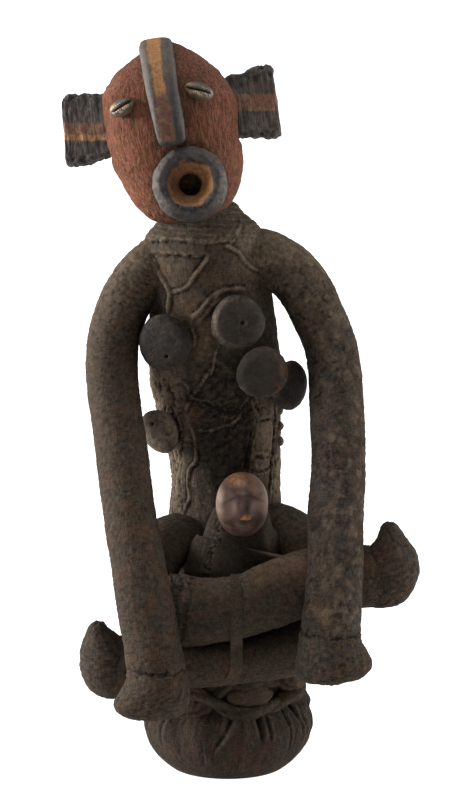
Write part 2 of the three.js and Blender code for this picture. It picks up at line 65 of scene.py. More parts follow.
# Stations of the stuffed limbs: x, y, z, half size to the side, half size towards the front
ARM_LEFT = [
    (-38, 26, 441, 19, 20), (-56, 25, 441, 23, 23), (-74, 22, 427.5, 23, 23.5), (-88.5, 17, 408, 22.5, 23),
    (-98, 9, 382, 22.5, 22), (-101, 0, 356, 22.5, 22), (-98.5, -13, 325, 22.3, 22),
    (-92, -34, 286, 22.4, 22), (-88, -52, 257, 22, 22), (-83, -70, 230, 22.3, 23),
    (-77.3, -86, 202, 22.8, 23), (-71.6, -99, 171, 23.8, 23), (-67, -106, 147, 23.8, 23),
    (-62.6, -110, 124, 24.4, 23.6), (-60.5, -111.5, 112, 24.4, 24.2), (-60, -112, 98, 20, 20),
]
ARM_RIGHT = [
    (0, 26, 441, 20, 20), (25, 25, 445, 24, 24), (50, 22, 433, 24, 24.5), (66, 17, 415, 23.6, 24),
    (77, 11, 393, 22.8, 23.5), (88.2, 0, 363, 22.8, 23), (91.2, -13, 327, 23.6, 23),
    (92.6, -30, 294, 23.4, 23), (92.2, -47, 264, 23.4, 23), (89.6, -64, 237, 23.6, 23),
    (89, -82, 201, 23.6, 23), (87, -94, 169, 24.3, 23.5), (85, -100, 150, 25, 24.6),
    (84.6, -103, 139, 25, 24.6), (84.5, -105, 124, 20, 20),
]
HAND_LEFT = [
    (-60.5, -111.5, 113.5, 25.2, 25), (-60.3, -112.5, 106.5, 25.6, 25.4), (-61.6, -113, 100, 27.4, 25.4),
    (-63.2, -113.5, 93.5, 29.6, 25), (-65, -114, 86.5, 31.4, 23.5), (-66, -114, 80.5, 29.8, 21),
    (-66.5, -114, 76, 24, 17.5), (-66, -114, 73, 15, 12),
]
HAND_RIGHT = [
    (84.6, -102, 142.8, 25.9, 25.6), (84.6, -104, 135.5, 26.8, 26), (86.2, -105.5, 128.5, 29.2, 26),
    (87.4, -106.5, 121, 31.4, 25.2), (87, -107, 114, 31.8, 23.5), (85, -107, 108, 28.5, 20),
    (82.5, -107, 104, 22, 16), (81, -107, 101.5, 13, 11),
]
FOOT_LEFT = [
    (-99, -52, 72.5, 6, 9), (-102, -52, 78, 14.5, 15), (-103, -52, 88, 21.5, 20.5),
    (-103.5, -52, 101, 24.5, 24), (-104, -53, 115, 23.5, 22.5), (-109, -54, 128, 14.5, 16.5),
    (-112, -55, 135.5, 8.5, 11), (-111.5, -55, 141, 6, 8),
]
FOOT_RIGHT = [
    (127, -54, 153, 9, 10), (130, -54, 159, 18.5, 16), (133.5, -54, 170, 23, 22),
    (135.5, -54, 184, 25.8, 25.5), (136.8, -54, 199, 22.5, 24), (137.5, -55, 212, 14, 18),
    (136.5, -56, 221, 9, 12), (136, -56, 228, 6, 8),
]

# Stations of the legs: x, y, z, half size to the side, half height
UPPER_THIGH = [
    (-18, 24, 204, 24, 21), (-38, 12, 202, 25, 21), (-56, -6, 197, 26, 22), (-68, -27, 182, 25, 23),
    (-66, -46, 160, 24, 24),
]
UPPER_SHIN = [
    (-74, -50, 153, 20, 24), (-54, -53, 150.5, 27, 29), (-38, -55, 150, 30, 30),
    (-16, -57, 151, 30, 28), (9, -57, 154.5, 30, 26.5), (36, -56, 164, 30, 28),
    (60, -55, 173, 30, 28.5), (90, -54, 179, 29, 28.5), (115, -54, 180, 27, 26.5),
    (133, -54, 182, 23, 24),
]
LOWER_THIGH = [
    (16, 24, 209, 24, 21), (37, 13, 209.5, 25, 21), (57, -4, 203, 26, 21), (72, -22, 184, 25, 24),
    (78, -37, 158, 25, 24), (77, -45, 130, 22, 22),
]
LOWER_SHIN = [
    (92, -46, 127, 22, 20), (72, -47, 122, 27, 24), (46, -47, 113.5, 28, 22.5), (18, -47, 107, 27, 21),
    (-17, -47, 103, 27, 20.5), (-51, -48, 102, 27, 21.5), (-85, -50, 103, 27, 24),
    (-106, -51, 104, 22, 22),
]

# Stations of the trunk, from the seat up: x, y, z, half width, half depth
TRUNK = [
    (-2, 26, 60, 40, 36), (-2, 28, 105, 51, 42), (-3, 31, 160, 55, 43), (-4, 32, 205, 51, 41),
    (-3, 32, 237, 48.5, 39), (-4, 31, 273, 49.5, 39), (-10, 30, 315, 54.5, 41),
    (-13, 28, 350, 57, 43), (-16, 27, 400, 54, 43), (-20, 26, 436, 51, 40),
    (-22.5, 25, 463, 49.5, 37), (-24, 25, 479, 36.5, 33), (-25, 25, 493, 27, 29),
]

# Stations of the small lap figure's wrapped body, from the seat up
LAP_BODY = [
    (6, -22, 112, 26, 8), (6, -24, 136, 39, 14), (6, -25, 162, 45, 17), (6, -26, 180, 45, 18),
    (6, -26, 192, 41, 17), (9, -25, 204, 35, 16.5), (9, -24, 216, 29, 16), (10, -23, 229, 24, 15),
    (11, -22, 243, 18, 12),
]

# The gathered bundle from its neck to its foot: height, and share of the full radius
BUNDLE = {"radius": 73, "height": 88, "x": -1.5, "lean": 12}
BUNDLE_PROFILE = [
    (94, 0), (94, 0.6), (86, 0.84), (74, 0.8), (62, 0.8), (53, 0.91), (43, 1), (31, 0.995),
    (18, 0.93), (7, 0.81), (0, 0.69), (-6, 0.58), (-6, 0),
]

# The head from crown to chin: height, half width, and how far its middle moves to the right
HEAD = {"centre": (-48, 15, 554), "roll": 8.3, "tilt": 12, "width": 117, "front": 42, "back": 46}
HEAD_PROFILE = [
    (75, 0, 0), (73.5, 9, 1), (69, 17.5, 1.3), (62, 28.5, -0.5), (54, 38.8, -2.4), (46, 46.6, -2.2),
    (36, 54.3, -2.3), (16, 58.5, 0), (-6, 57.6, -0.4), (-24, 55.4, 0.4), (-38, 52.3, 2.5), (-54, 47, 3.2),
    (-66, 39, 3.0), (-73.5, 30.5, 2.0), (-78, 18, 1), (-79, 0, 0),
]

# Stations of the nose bar in the head's frame, from the crown down: x, y, z, half width, half depth
NOSE = [
    (-4, 9, 65, 12, 8), (-4, 2, 68.5, 13.3, 9.5), (-4, -8, 68, 14.3, 10.5), (-4, -19, 64, 14.5, 11.5),
    (-3.7, -29, 56, 14.3, 12), (-3.4, -37, 47, 14, 12), (-3.1, -42, 37, 13.7, 12),
    (-2.8, -46, 25, 13.4, 12), (-2.2, -48.5, 12, 13, 12.2), (-1.5, -50, 1, 12.5, 12.2),
    (-0.8, -50.5, -9, 12, 11.5), (-0.3, -50.5, -19.5, 11.7, 10.5),
]
MOUTH = {"x": 8.6, "y": -37, "z": -52, "radius": 30.8, "pit": 9.6}
EARS = {"y": 2, "middle": 12, "inner": 46, "outer": 91, "half_height": 30, "half_thickness": 9}
COWRIES = {
    "cowrie_left": {"place": (-38.4, -37.5, 20), "length": 22.5, "width": 15, "slope": 17},
    "cowrie_right": {"place": (27, -37, 24.3), "length": 25.5, "width": 15.5, "slope": -26},
}
COWRIE_HALF_DEPTH = 10

# The flat dark seeds on the trunk. Each hole lies to the right of and above the centre, and one beyond the
# radius isn't seen. dust is an amount of pale dust, and the other amount is painted shade that darkens a
# seed turned towards the strong left light; crescent is a pale rim and red a red-brown edge
SEEDS = {
    "seed_a": {
        "place": (-54.8, -17, 375.7), "radius": 24.5, "facing": (-0.32, -0.94, 0.06), "hole": (4, -11),
        "painted_shade": 0.4,
    },
    "seed_b": {
        "place": (7, -23, 394), "radius": 23.5, "facing": (0.12, -0.98, 0.05), "hole": (3, 0),
        "crescent": 1,
    },
    "seed_c": {
        "place": (28, -25, 351), "radius": 23, "facing": (0.2, -0.96, -0.12), "hole": (30, 0), "red": 1,
    },
    "seed_d": {"place": (51.5, 3, 335), "radius": 22, "facing": (0.74, -0.67, 0), "hole": (30, 0)},
    "seed_e": {
        "place": (-60, -1, 296), "radius": 20.5, "facing": (-0.6, -0.77, -0.2), "hole": (-2, 9),
        "dust": 2.1,
    },
}
SEED_THICKNESS = 15

LAP_HEAD = {"place": (10.7, -34, 238.6), "half": (22.3, 24, 27.6), "nod": 2}
LAP_SPUR = {"place": (31, -45, 198), "radius": 2.6, "length": 34, "turn": -74, "flat": 1.6}

# The two turns of the sash round the bundle's neck: angle and height; the first crosses over
SASH_OVER = [
    (-127, 76), (-112, 74.5), (-103, 70), (-93, 64), (-85, 59.5), (-76, 58), (-63, 59.5), (-50, 61.5),
    (-35, 64), (-11, 66), (20, 69), (60, 73), (100, 76), (150, 77), (200, 77),
]
SASH_UNDER = [
    (-130, 57), (-115, 59), (-109, 61.5), (-103, 67), (-98, 73), (-93, 79), (-87, 83.5), (-79, 85),
    (-69, 85), (-50, 85), (-30, 83), (0, 78), (50, 70), (90, 65), (140, 60), (190, 57),
]
SASH = {"radius": 61, "strand": 4.9, "lift": 1.6, "over": 3.0}
KNOT = {"place": (53, -26.5, 81.5), "half": (10.5, 9.5, 12.5)}
STRAP = {"x": 6, "width": 10.5, "thickness": 1.6}

# The stage: the height aimed at and the floor's half size in metres, the lens in millimetres, and the
# width of a light in degrees
STAGE = {"aim": 0.323, "floor": 30.0, "lens": 136.05, "light": 40}

# Raised cords and fold edges on the trunk's front: half width, height, points as x and z
TRUNK_LINES = {
    "left_shoulder_strap": (3.6, 3.2, [
        (-75, 470), (-73, 455), (-69, 446), (-64, 441), (-60, 433), (-56, 425), (-52, 417), (-52, 408),
        (-53, 396),
    ]),
    "vee": (3.0, 2.6, [(-52, 417), (-46, 419), (-38, 422), (-33, 427), (-29, 434), (-22, 443), (-17, 452)]),
    "flap_edge": (3.2, 3.4, [(-5, 459), (1, 456), (8, 451), (13, 444), (20, 437), (28, 434)]),
    "flap_outer": (2.4, 2.6, [(31, 471), (31, 460), (29, 451), (26, 443), (29, 433)]),
    "flap_fold": (3.6, 1.6, [(-1, 459), (4, 465), (8, 472), (9, 480)]),
    "crescent": (3.6, 2.8, [
        (15, 420), (5, 421), (-6, 420), (-14, 415), (-20, 409), (-25, 402), (-34, 396),
    ]),
    "crescent_low": (3.6, 1.5, [(-8, 415), (-15, 408), (-20, 401), (-27, 395)]),
    "seed_a_cord": (1.8, 1.6, [(-53, 398), (-45, 395), (-37, 390), (-32, 386)]),
    "middle": (2.4, 2.0, [(-33, 395), (-31, 384), (-29, 379), (-31, 371)]),
    "gap_ridge": (1.8, 1.8, [(-8, 374), (-12, 366), (-14, 352), (-17, 345)]),
    "centre": (3.0, 2.2, [(-13, 353), (-20, 346), (-25, 338), (-33, 326), (-38, 313)]),
    "cross_left": (2.4, 1.8, [(-45, 342), (-37, 338), (-33, 328), (-24, 325), (-12, 323)]),
    "belly_curve": (2.0, 1.3, [(-16, 306), (-7, 312), (2, 310), (10, 319), (18, 328)]),
    "belly_line": (2.6, 1.8, [(-28, 298), (-16, 298), (-5, 302), (5, 306), (11, 314)]),
    "reed_a": (1.9, 2.4, [(17, 332), (21, 317), (25, 308), (24, 297), (20, 283), (18, 270), (17, 254)]),
    "reed_b": (1.7, 2.0, [(21, 330), (25, 320), (28, 309)]),
    "right_outer": (2.4, 2.6, [(40, 326), (40, 300), (39, 276), (37, 252), (36, 232)]),
    "upper_tie": (2.4, 2.2, [(24, 306), (31, 308), (40, 304)]),
    "middle_tie": (2.2, 2.2, [(20, 277), (31, 275), (40, 271)]),
    "low_tie": (1.6, 1.8, [(16, 259), (28, 258), (37, 260)]),
    "left_low": (2.8, 3.0, [
        (-34, 303), (-30, 292), (-29, 280), (-29, 270), (-34, 263), (-36, 250), (-35, 238), (-38, 228),
        (-42, 217),
    ]),
    "left_flank": (2.6, 2.2, [(-51, 321), (-44, 310), (-41, 295), (-43, 278), (-46, 259), (-45, 232)]),
    "flank_wrinkle": (1.5, 1.0, [(-44, 290), (-38, 288), (-31, 290)]),
    "flank_wrinkle_low": (1.5, 0.9, [(-44, 284), (-37, 283), (-31, 285)]),
    "flank_edge": (2.4, 2.4, [(-62, 350), (-61, 336), (-57, 325), (-51, 314)]),
}

# Creases beside the strips at the trunk's right, as x and z
TRUNK_CUTS = [
    [(39.5, 332), (39, 310), (38.5, 290), (37, 270), (36, 250), (35, 234)],
    [(21, 273.5), (29, 271.5), (37, 273.5)], [(17, 263), (24, 260), (32, 261), (38, 264)],
    [(22, 306), (30, 304), (38, 307)], [(13, 262), (15, 275), (18, 290), (20, 306)],
]

# Cords across the plain back: points as the angle from the front, in degrees, and the height
BACK_LINES = [
    [(-79, 470), (-100, 476), (-120, 478), (-140, 476), (-160, 470)],
    [(-110, 300), (-130, 311), (-150, 318), (-170, 322), (-190, 322), (-210, 316), (-232, 308)],
    [(-150, 440), (-160, 410), (-165, 380), (-162, 350), (-158, 330)],
    [(120, 440), (150, 425), (180, 420), (-150, 432)],
    [(140, 250), (165, 262), (190, 258), (215, 240)],
]

# Folded edges of cloth that lie over what is below them: height, points as x and z
TRUNK_STEPS = {
    "neck_wrap": (1.0, [
        (-75, 457), (-65, 460), (-51, 462), (-36, 461), (-21, 459), (-6, 461), (2, 464), (8, 471),
    ]),
    "collar_band": (0.9, [(-75, 450), (-65, 449), (-52, 450), (-38, 449), (-28, 448), (-17, 451)]),
}

# Dusty, earthy, dark and bark-like patches on the trunk's front: x, z, half width, half height, amount. The
# dark ones are painted shade between the arms, under the crescent cord and the flap, beside the strips and
# in the left armpit, with some dirt.
PALE_PATCHES = [
    (-28, 466, 46, 12, 0.2), (-52, 438, 18, 15, 0.3), (17, 451, 13, 17, 0.4), (-53, 333, 13, 18, 0.6),
    (-58, 331, 15, 23, 1.0), (-51, 262, 10, 42, 0.75), (30, 304, 8.5, 27, 1.0), (41, 258, 4, 18, 1.0),
    (27, 268, 9, 6, 0.3), (-30, 405, 14, 10, 0.3), (-22, 372, 7, 18, 0.3), (-37, 300, 6, 16, 0.45),
]
WARM_PATCHES = [
    (-24, 378, 8, 17, 0.6), (-31, 311, 9, 9, 0.6), (-57, 436, 10, 9, 0.5), (-10, 431, 24, 9, 0.3),
    (31, 288, 8, 40, 0.5), (-57, 330, 12, 20, 0.4), (-30, 404, 14, 9, 0.4), (43, 250, 6, 20, 0.5),
]
SHADE_AND_DIRT_PATCHES = [
    (-6, 290, 25, 46, 0.75), (-6, 340, 27, 28, 0.6), (-14, 401, 8, 6, 0.5), (10, 425, 14, 7, 0.3),
    (-39, 240, 4, 16, 0.7), (40, 285, 2.5, 40, 0.6), (-33, 326, 5, 5, 0.7), (15, 290, 4, 30, 0.5),
    (-66, 405, 7, 16, 0.6), (40, 222, 10, 10, 0.6),
]
BARK_PATCHES = [(-51, 262, 12, 60, 1), (-57, 331, 13, 22, 0.8), (42, 262, 8, 50, 0.7)]

# Creases of the bundle's cloth in front: angle, height, angle, height, depth, half width
BUNDLE_CREASES = [
    (-86, 57, -100, 29, 1.7, 2.8), (-67, 56, -66, 36, 3.0, 3.0), (-60, 52, -59, 35, 1.8, 1.8),
    (-42, 55, -40, 24, 1.7, 1.8), (-32, 58, -26, 34, 3.2, 2.2), (-22, 46, -18, 30, 2.2, 2.0),
    (-10, 52, -5, 28, 2.0, 2.4), (-141, 52, -142, 27, 1.5, 2.4), (-161, 46, -164, 28, 1.2, 2.6),
    (-108, 34, -107, 13, 0.7, 1.5), (-82, 24, -83, 9, 0.8, 1.3), (-130, 17, -122, 7, 1.2, 1.6),
]


def paint(text):
    """The linear colour of a six-digit sRGB hex text."""
    parts = [int(text[i : i + 2], 16) / 255 for i in (0, 2, 4)]
    return tuple(p / 12.92 if p <= 0.04045 else ((p + 0.055) / 1.055) ** 2.4 for p in parts)


def tint(name, default, description):
    """A colour property with its default as a hex text."""
    return FloatVectorProperty(
        name=name, description=description, default=paint(default), subtype="COLOR", min=0, max=1
    )


class EffigySizes(bpy.types.PropertyGroup):
    """Sizes of the fine surfaces."""

    step: FloatProperty(
        name="Grid step", description="Distance between points of the cloth surfaces",
        default=0.0014, min=0.0005, max=0.01, precision=4, unit="LENGTH",
    )
    relief: FloatProperty(
        name="Relief", description="Height of folds, cords and crust, as a share of the real one",
        default=1.0, min=0.0, max=2.0, subtype="FACTOR",
    )
    thread: FloatProperty(
        name="Thread", description="Width of the threads of the cloth",
        default=0.0011, min=0.0003, max=0.005, precision=4, unit="LENGTH",
    )


class EffigyColours(bpy.types.PropertyGroup):
    """Colours of the surfaces before their wear."""

    cloth: tint("Cloth", "312a22", "Soiled brown cloth of the limbs")
    cloth_grey: tint("Grey cloth", "302d29", "Greyer areas of the same cloth")
    earth: tint("Earth", "443122", "Ochre earth rubbed into the cloth")
    dust: tint("Dust", "5b4e40", "Pale dust on raised places")
    # This dark colour is also the painted shade in hollows, creases and the mesh's dark places.
    grime_and_shade: tint("Grime", "100b08", "Dirt in hollows and creases")
    felt: tint("Red felt", "60382b", "Fibrous red cloth of the head")
    felt_dark: tint("Dark felt", "30180f", "Soiled places of the red cloth")
    paint_dark: tint("Dark paint", "322d2b", "Worn grey-blue paint of nose, mouth and ears")
    paint_ochre: tint("Ochre paint", "75502c", "Ochre paint of nose, mouth and ears")
    paint_rust: tint("Rust paint", "583226", "Rust-red paint bands")
    shell: tint("Shell", "4d3f31", "Stained cowrie shell")
    seed: tint("Seed", "1d1916", "Dusty dark seed")
    wood: tint("Wood", "402a23", "Handled wood of the small head")
    floor: tint("Floor", "919190", "Pale floor of the stage")


class EffigyStage(bpy.types.PropertyGroup):
    """The camera and the lights."""

    distance: FloatProperty(
        name="Camera distance", description="From the camera to the middle of the figure",
        default=2.6, min=1.0, max=10.0, unit="LENGTH",
    )
    elevation: FloatProperty(
        name="Camera elevation", description="Angle of the camera above the horizon",
        default=math.radians(10), min=0.0, max=1.5, subtype="ANGLE",
    )
    key: FloatProperty(
        name="Left light", description="Strength of the broad light at the left", default=14.5, min=0
    )
    fill: FloatProperty(
        name="Right light", description="Strength of the broad light at the right", default=6.0, min=0
    )
    top: FloatProperty(
        name="Top light", description="Strength of the broad light above", default=3.0, min=0
    )
    sky: FloatProperty(
        name="Surround", description="Strength of the white surround", default=0.1, min=0, max=3
    )


def settings():
    """The sizes, colours and stage values of the current scene."""
    scene = bpy.context.scene
    return scene.effigy_sizes, scene.effigy_colours, scene.effigy_stage


def spacing():
    sizes, _, _ = settings()
    return sizes.step / MM * 1


def smooth(value, low, high):
    """0 below low, 1 above high, and a smooth cubic step between them."""
    t = np.clip((value - low) / (high - low), 0, 1)
    return t * t * (3 - 2 * t)


def bell(value, width):
    """exp of minus the square of value over width."""
    return np.exp(-((value / width) ** 2))


def soft_spot(x, z, x0, z0, half_x, half_z):
    """1 at a place, falling off as a bell of each half size."""
    return np.exp(-(((x - x0) / half_x) ** 2) - ((z - z0) / half_z) ** 2)


def between(share, p, q, r, s):
    """The uniform Catmull-Rom curve from q to r, whose neighbours are p and s, at a share of the way."""
    f = share[:, None]
    return q + 0.5 * f * (r - p + f * (2 * p - 5 * q + 4 * r - s + f * (3 * (q - r) + s - p)))


def through(stations, t):
    """Values of the stations at t from 0 to 1, on the uniform Catmull-Rom curve through them all."""
    rows = np.asarray(stations, float)
    last = len(rows) - 1
    place = np.clip(np.asarray(t, float) * last, 0, last - 1e-9)
    index = place.astype(int)
    p, q, r, s = (rows[np.clip(index + step, 0, last)] for step in (-1, 0, 1, 2))
    return between(place - index, p, q, r, s)


def unit(vectors):
    """The vectors scaled to length 1."""
    return vectors / np.maximum(np.linalg.norm(vectors, axis=-1, keepdims=True), 1e-12)


def grid(x, y, z):
    """A grid of points from its three coordinates, each drawn out to the whole grid."""
    return np.stack(np.broadcast_arrays(x, y, z), axis=-1)


def hashed(cells, seed):
    """A whole number that looks random for each whole-number cell, the same on every run."""
    mixed = cells[..., 0] * 374761393 + cells[..., 1] * 668265263 + cells[..., 2] * 1440662683
    mixed = (mixed + seed * 1274126177) & 0xFFFFFFFF
    mixed = ((mixed ^ (mixed >> 13)) * 1103515245) & 0xFFFFFFFF
    return mixed ^ (mixed >> 16)


def gradient_noise(points, seed):
    """Noise from about -1 to 1. Each corner of the unit cell that holds a point has a random slope;
    the eight slopes times the way to the point are blended by a quintic fade."""
    cell = np.floor(points).astype(np.int64)
    f = points - cell
    fade = f * f * f * (f * (f * 6 - 15) + 10)
    total = 0
    for corner in itertools.product((0, 1), repeat=3):
        bits = hashed(cell + np.array(corner), seed)
        slope = [((bits >> shift) & 1023) / 511.5 - 1 for shift in (0, 10, 20)]
        dot = sum(slope[k] * (f[..., k] - corner[k]) for k in range(3))
        weight = np.prod(np.where(corner, fade, 1 - fade), axis=-1)
        total = total + weight * dot
    return 1.5 * total


def bumps(points, size, seed, octaves=3, stretch=(1, 1, 1)):
    """Octaves of gradient noise, each half as large and half as high as the one before it. A stretch
    above 1 draws the pattern out along that axis."""
    scaled = points / (size * np.array(stretch, float))
    return sum(gradient_noise(scaled * 2**k, seed + 7 * k) / 2**k for k in range(octaves))


def cracks(points, size, seed, stretch=(1, 1, 1)):
    """1 along thin wandering lines and 0 between them: noise near zero, made narrow."""
    return bell(bumps(points, size, seed, 2, stretch), 0.13)


class Skin:
    """A grid of points in millimetres whose columns close on themselves. Its first and last row are
    poles, or, on a ring, join each other. flow is each point's place on the unrolled cloth."""

    def __init__(self, points, flow=None, ring=False):
        self.points = points
        self.rest = points.copy()
        self.flow = points.copy() if flow is None else flow
        self.ring = ring
        self.height = np.zeros(points.shape[:2])
        self.masks = {}
        self.normals = self.outward()

    def outward(self):
        """The cross product of the differences down and across the grid, turned away from each
        row's middle."""
        points = self.points
        if self.ring:
            down = np.roll(points, -1, axis=0) - np.roll(points, 1, axis=0)
        else:
            down = np.gradient(points, axis=0)
        across = np.roll(points, -1, axis=1) - np.roll(points, 1, axis=1)
        normals = unit(np.cross(down, across))
        middle = points.mean(axis=1, keepdims=True)
        if np.sum(normals * (points - middle)) < 0:
            normals = -normals
        if not self.ring:
            normals[0] = unit(points[0] - middle[1])
            normals[-1] = unit(points[-1] - middle[-2])
        return normals

    def xyz(self):
        """Where the points are before any relief, as three grids."""
        return np.moveaxis(self.rest, -1, 0)

    def rough(self, size, seed, octaves=2, stretch=(1, 1, 1)):
        """Bumps at those places."""
        return bumps(self.rest, size, seed, octaves, stretch)

    def front(self, low, high):
        """A step from 0 to 1 as the surface turns towards the front."""
        return smooth(-self.normals[..., 1], low, high)

    def mark(self, name, values):
        """Adds to a mask that the materials read, between 0 and 1."""
        old = self.masks.get(name, 0)
        self.masks[name] = np.clip(old + values * np.ones(self.height.shape), 0, 1)

    def raised(self, line, width, height):
        """Raises a round cord along a line of points: the height times the root of 1 - (d/w)^2 inside
        its half width w, tapered at both ends, with a shallow groove on both sides."""
        distance, place = line_distance(self.rest, line, 4 * width)
        taper = smooth(place, 0, 0.12) * smooth(1 - place, 0, 0.12)
        wobble = 1 + 0.35 * bumps(self.flow, 6, 71, 2)
        share = np.clip(distance / (width * wobble), 0, 1)
        cord = np.sqrt(1 - share**2)
        side = bell(distance - 1.5 * width, 0.5 * width)
        taper = taper * (0.85 + 0.45 * bumps(self.flow, 13, 73, 2))
        self.height += height * taper * (cord - 0.35 * side)
        self.mark("pale", 0.5 * taper * cord)
        # Painted shade in the grooves beside the cord; the cord itself is marked pale.
        self.mark("dark", 0.4 * taper * side)

    def cut(self, line, width, depth, crease_shade=0.6):
        """Sinks a crease along a line of points: depth times a bell of the distance, darkened by an amount
        as painted shade in the crease.
        """
        distance, place = line_distance(self.rest, line, 4 * width)
        taper = smooth(place, 0, 0.15) * smooth(1 - place, 0, 0.25)
        self.height -= depth * taper * bell(distance, width)
        self.mark("dark", crease_shade * taper * bell(distance, 0.8 * width))

    def settle(self):
        """Moves each point out along its normal by its height, and notes how far it stands out of
        its surroundings."""
        sizes, _, _ = settings()
        self.points = self.points + self.normals * (self.height * sizes.relief)[..., None]
        around = self.height.copy()
        for _ in range(max(2, round(6 / spacing()))):
            rows = np.vstack([around[:1], around, around[-1:]])
            around = (rows[:-2] + rows[2:] + np.roll(around, 1, 1) + np.roll(around, -1, 1)) / 4
        self.masks["relief"] = np.clip((self.height - around) / 0.6, -1, 1)
        return self

    def placed(self, turn, place):
        """The skin turned by a matrix and moved."""
        self.points = self.points @ np.asarray(turn).T + np.asarray(place, float)
        return self


def line_distance(points, line, reach):
    """Shortest distance from each point to a line of points, and how far along the line, from 0 to 1,
    its nearest place is. Points further than the reach count as far away."""
    line = np.asarray(line, float)
    low, high = line.min(axis=0) - reach, line.max(axis=0) + reach
    near = np.all((points > low) & (points < high), axis=-1)
    distance = np.full(points.shape[:-1], 1e3)
    place = np.zeros(points.shape[:-1])
    chosen = points[near]
    best = np.full(len(chosen), 1e3)
    where = np.zeros(len(chosen))
    for index, (start, end) in enumerate(itertools.pairwise(line)):
        way = end - start
        share = np.clip((chosen - start) @ way / (way @ way), 0, 1)
        gap = np.linalg.norm(chosen - start - share[:, None] * way, axis=-1)
        closer = gap < best
        best = np.where(closer, gap, best)
        where = np.where(closer, (index + share) / (len(line) - 1), where)
    distance[near] = best
    place[near] = where
    return distance, place


def capped(caps, length, step):
    """Values from 0 to 1 for the rows of a sleeve: even in its middle, and at equal angles over the
    two round ends, which take the shares caps of its length."""
    curves = [
        cap * (1 - np.cos(np.linspace(0, PI / 2, max(6, round(1.3 * cap * length / step))))) for cap in caps
    ]
    rows = max(3, round((1 - sum(caps)) * length / step))
    middle = np.linspace(caps[0], 1 - caps[1], rows)[1:-1]
    return np.concatenate([curves[0], middle, 1 - curves[1][::-1]])


def outline(side, front, square, step):
    """Evenly spaced points on the outline of a rounded rectangle of half sizes 1, for one that is
    stretched to a side and a front: at each angle the radius is 1 over the root of
    (|cos|^(2/p) + |sin|^(2/p))^p, where p is the square power, and 1 gives a circle."""

    def at(angle):
        way = np.stack([np.cos(angle), np.sin(angle)], axis=-1)
        return way * (np.abs(way) ** (2 / square)).sum(axis=-1, keepdims=True) ** (-square / 2)

    fine = np.linspace(0, 2 * PI, 4001)
    arc = np.linalg.norm(np.diff(at(fine) * (side, front), axis=0), axis=1).cumsum()
    count = round(arc[-1] / step)
    places = np.arange(count) * arc[-1] / count
    return at(np.interp(places, np.concatenate([[0], arc]), fine)), arc[-1]


def sleeve(stations, towards, caps=(0.1, 0.1), square=1.0, step=None, level=False):
    """A stuffed sleeve: ellipses across the curve through the stations, with one axis kept towards a
    direction. Over the share cap at each end they shrink as the root of 1 - (1 - t / cap)^2. A square
    power below 1 makes the ellipses boxier. Level ones stay horizontal however the curve leans."""
    step = step or spacing()
    rough = through(stations, np.linspace(0, 1, 200))
    length = np.linalg.norm(np.diff(rough[:, :3], axis=0), axis=1).sum()
    corner, girth = outline(*rough[:, 3:].mean(axis=0), square, step)
    t = capped(caps, length, step)
    rows = through(stations, t)
    delta = 1e-3
    ahead = through(stations, np.minimum(t + delta, 1))[:, :3]
    behind = through(stations, np.maximum(t - delta, 0))[:, :3]
    way = unit(ahead - behind)
    if level:
        way = np.sign(way[:, 2:]) * UP
    across = unit(np.cross(way, towards))
    outward = np.cross(across, way)
    opened = [
        np.sqrt(np.clip(1 - np.clip(1 - end / cap, 0, 1) ** 2, 0, 1)) for end, cap in zip((t, 1 - t), caps)
    ]
    size = rows[:, 3:] * np.minimum(*opened)[:, None]
    points = rows[:, None, :3] + sum(
        (size[:, k, None] * corner[:, k])[..., None] * axis[:, None]
        for k, axis in enumerate((across, outward))
    )
    angle = 2 * PI * np.arange(len(corner)) / len(corner)
    radius = girth / (2 * PI)
    down = np.concatenate([[0], np.cumsum(np.linalg.norm(np.diff(rows[:, :3], axis=0), axis=1))])
    flow = grid(
        radius * np.cos(angle)[None], radius * np.sin(angle)[None], down[:, None]
    )
    return Skin(points, flow)


def ring(radius, section, step):
    """A closed ring: a section of points, as distance from the ring's axis and height along it,
    carried once round the axis +Z in steps that fit the radius."""
    around = np.asarray(section, float)
    count = round(2 * PI * radius / step)
    turn = 2 * PI * np.arange(count) / count
    points = grid(
        around[:, 0, None] * np.cos(turn), around[:, 0, None] * np.sin(turn), around[:, 1, None]
    )
    return Skin(points, ring=True)


def outlined(corners, step):
    """Points along the closed Catmull-Rom curve through the corners, about a step apart."""
    rows = np.asarray(corners, float)
    count = len(rows)
    length = np.linalg.norm(np.diff(np.vstack([rows, rows[:1]]), axis=0), axis=1).sum()
    place = np.arange(round(length / step)) * count / round(length / step)
    index = place.astype(int)
    p, q, r, s = (rows[(index + k) % count] for k in (-1, 0, 1, 2))
    return between(place - index, p, q, r, s)


def ball(half, step, square=1.0):
    """An ellipsoid about the origin, its poles on the Z axis. A square power below 1 makes it
    boxier."""
    columns = round(2 * PI * max(half[0], half[1]) / step)
    rows = round(PI * max(half) / step)
    turn = 2 * PI * np.arange(columns) / columns
    fall = np.linspace(0, PI, rows)[:, None]

    def corner(value):
        return np.sign(value) * np.abs(value) ** square

    girth = corner(np.sin(fall))
    return Skin(grid(
        half[0] * girth * corner(np.cos(turn)), half[1] * girth * corner(np.sin(turn)),
        half[2] * corner(np.cos(fall)),
    ))


def turn_about(axis, degrees):
    """The matrix of a turn about the X, Y or Z axis."""
    c, s = math.cos(math.radians(degrees)), math.sin(math.radians(degrees))
    return {
        "X": np.array([(1, 0, 0), (0, c, -s), (0, s, c)]),
        "Y": np.array([(c, 0, s), (0, 1, 0), (-s, 0, c)]),
        "Z": np.array([(c, -s, 0), (s, c, 0), (0, 0, 1)]),
    }[axis]


HEAD_TURN = turn_about("Y", -HEAD["roll"]) @ turn_about("X", -HEAD["tilt"])


def on_head(skin):
    """A skin made in the head's own frame, put in its place."""
    skin.settle()
    skin.flow = skin.rest
    return skin.placed(HEAD_TURN, HEAD["centre"])


def in_world(points):
    """Where points of the head's frame are on the figure."""
    return points @ HEAD_TURN.T + np.array(HEAD["centre"], float)


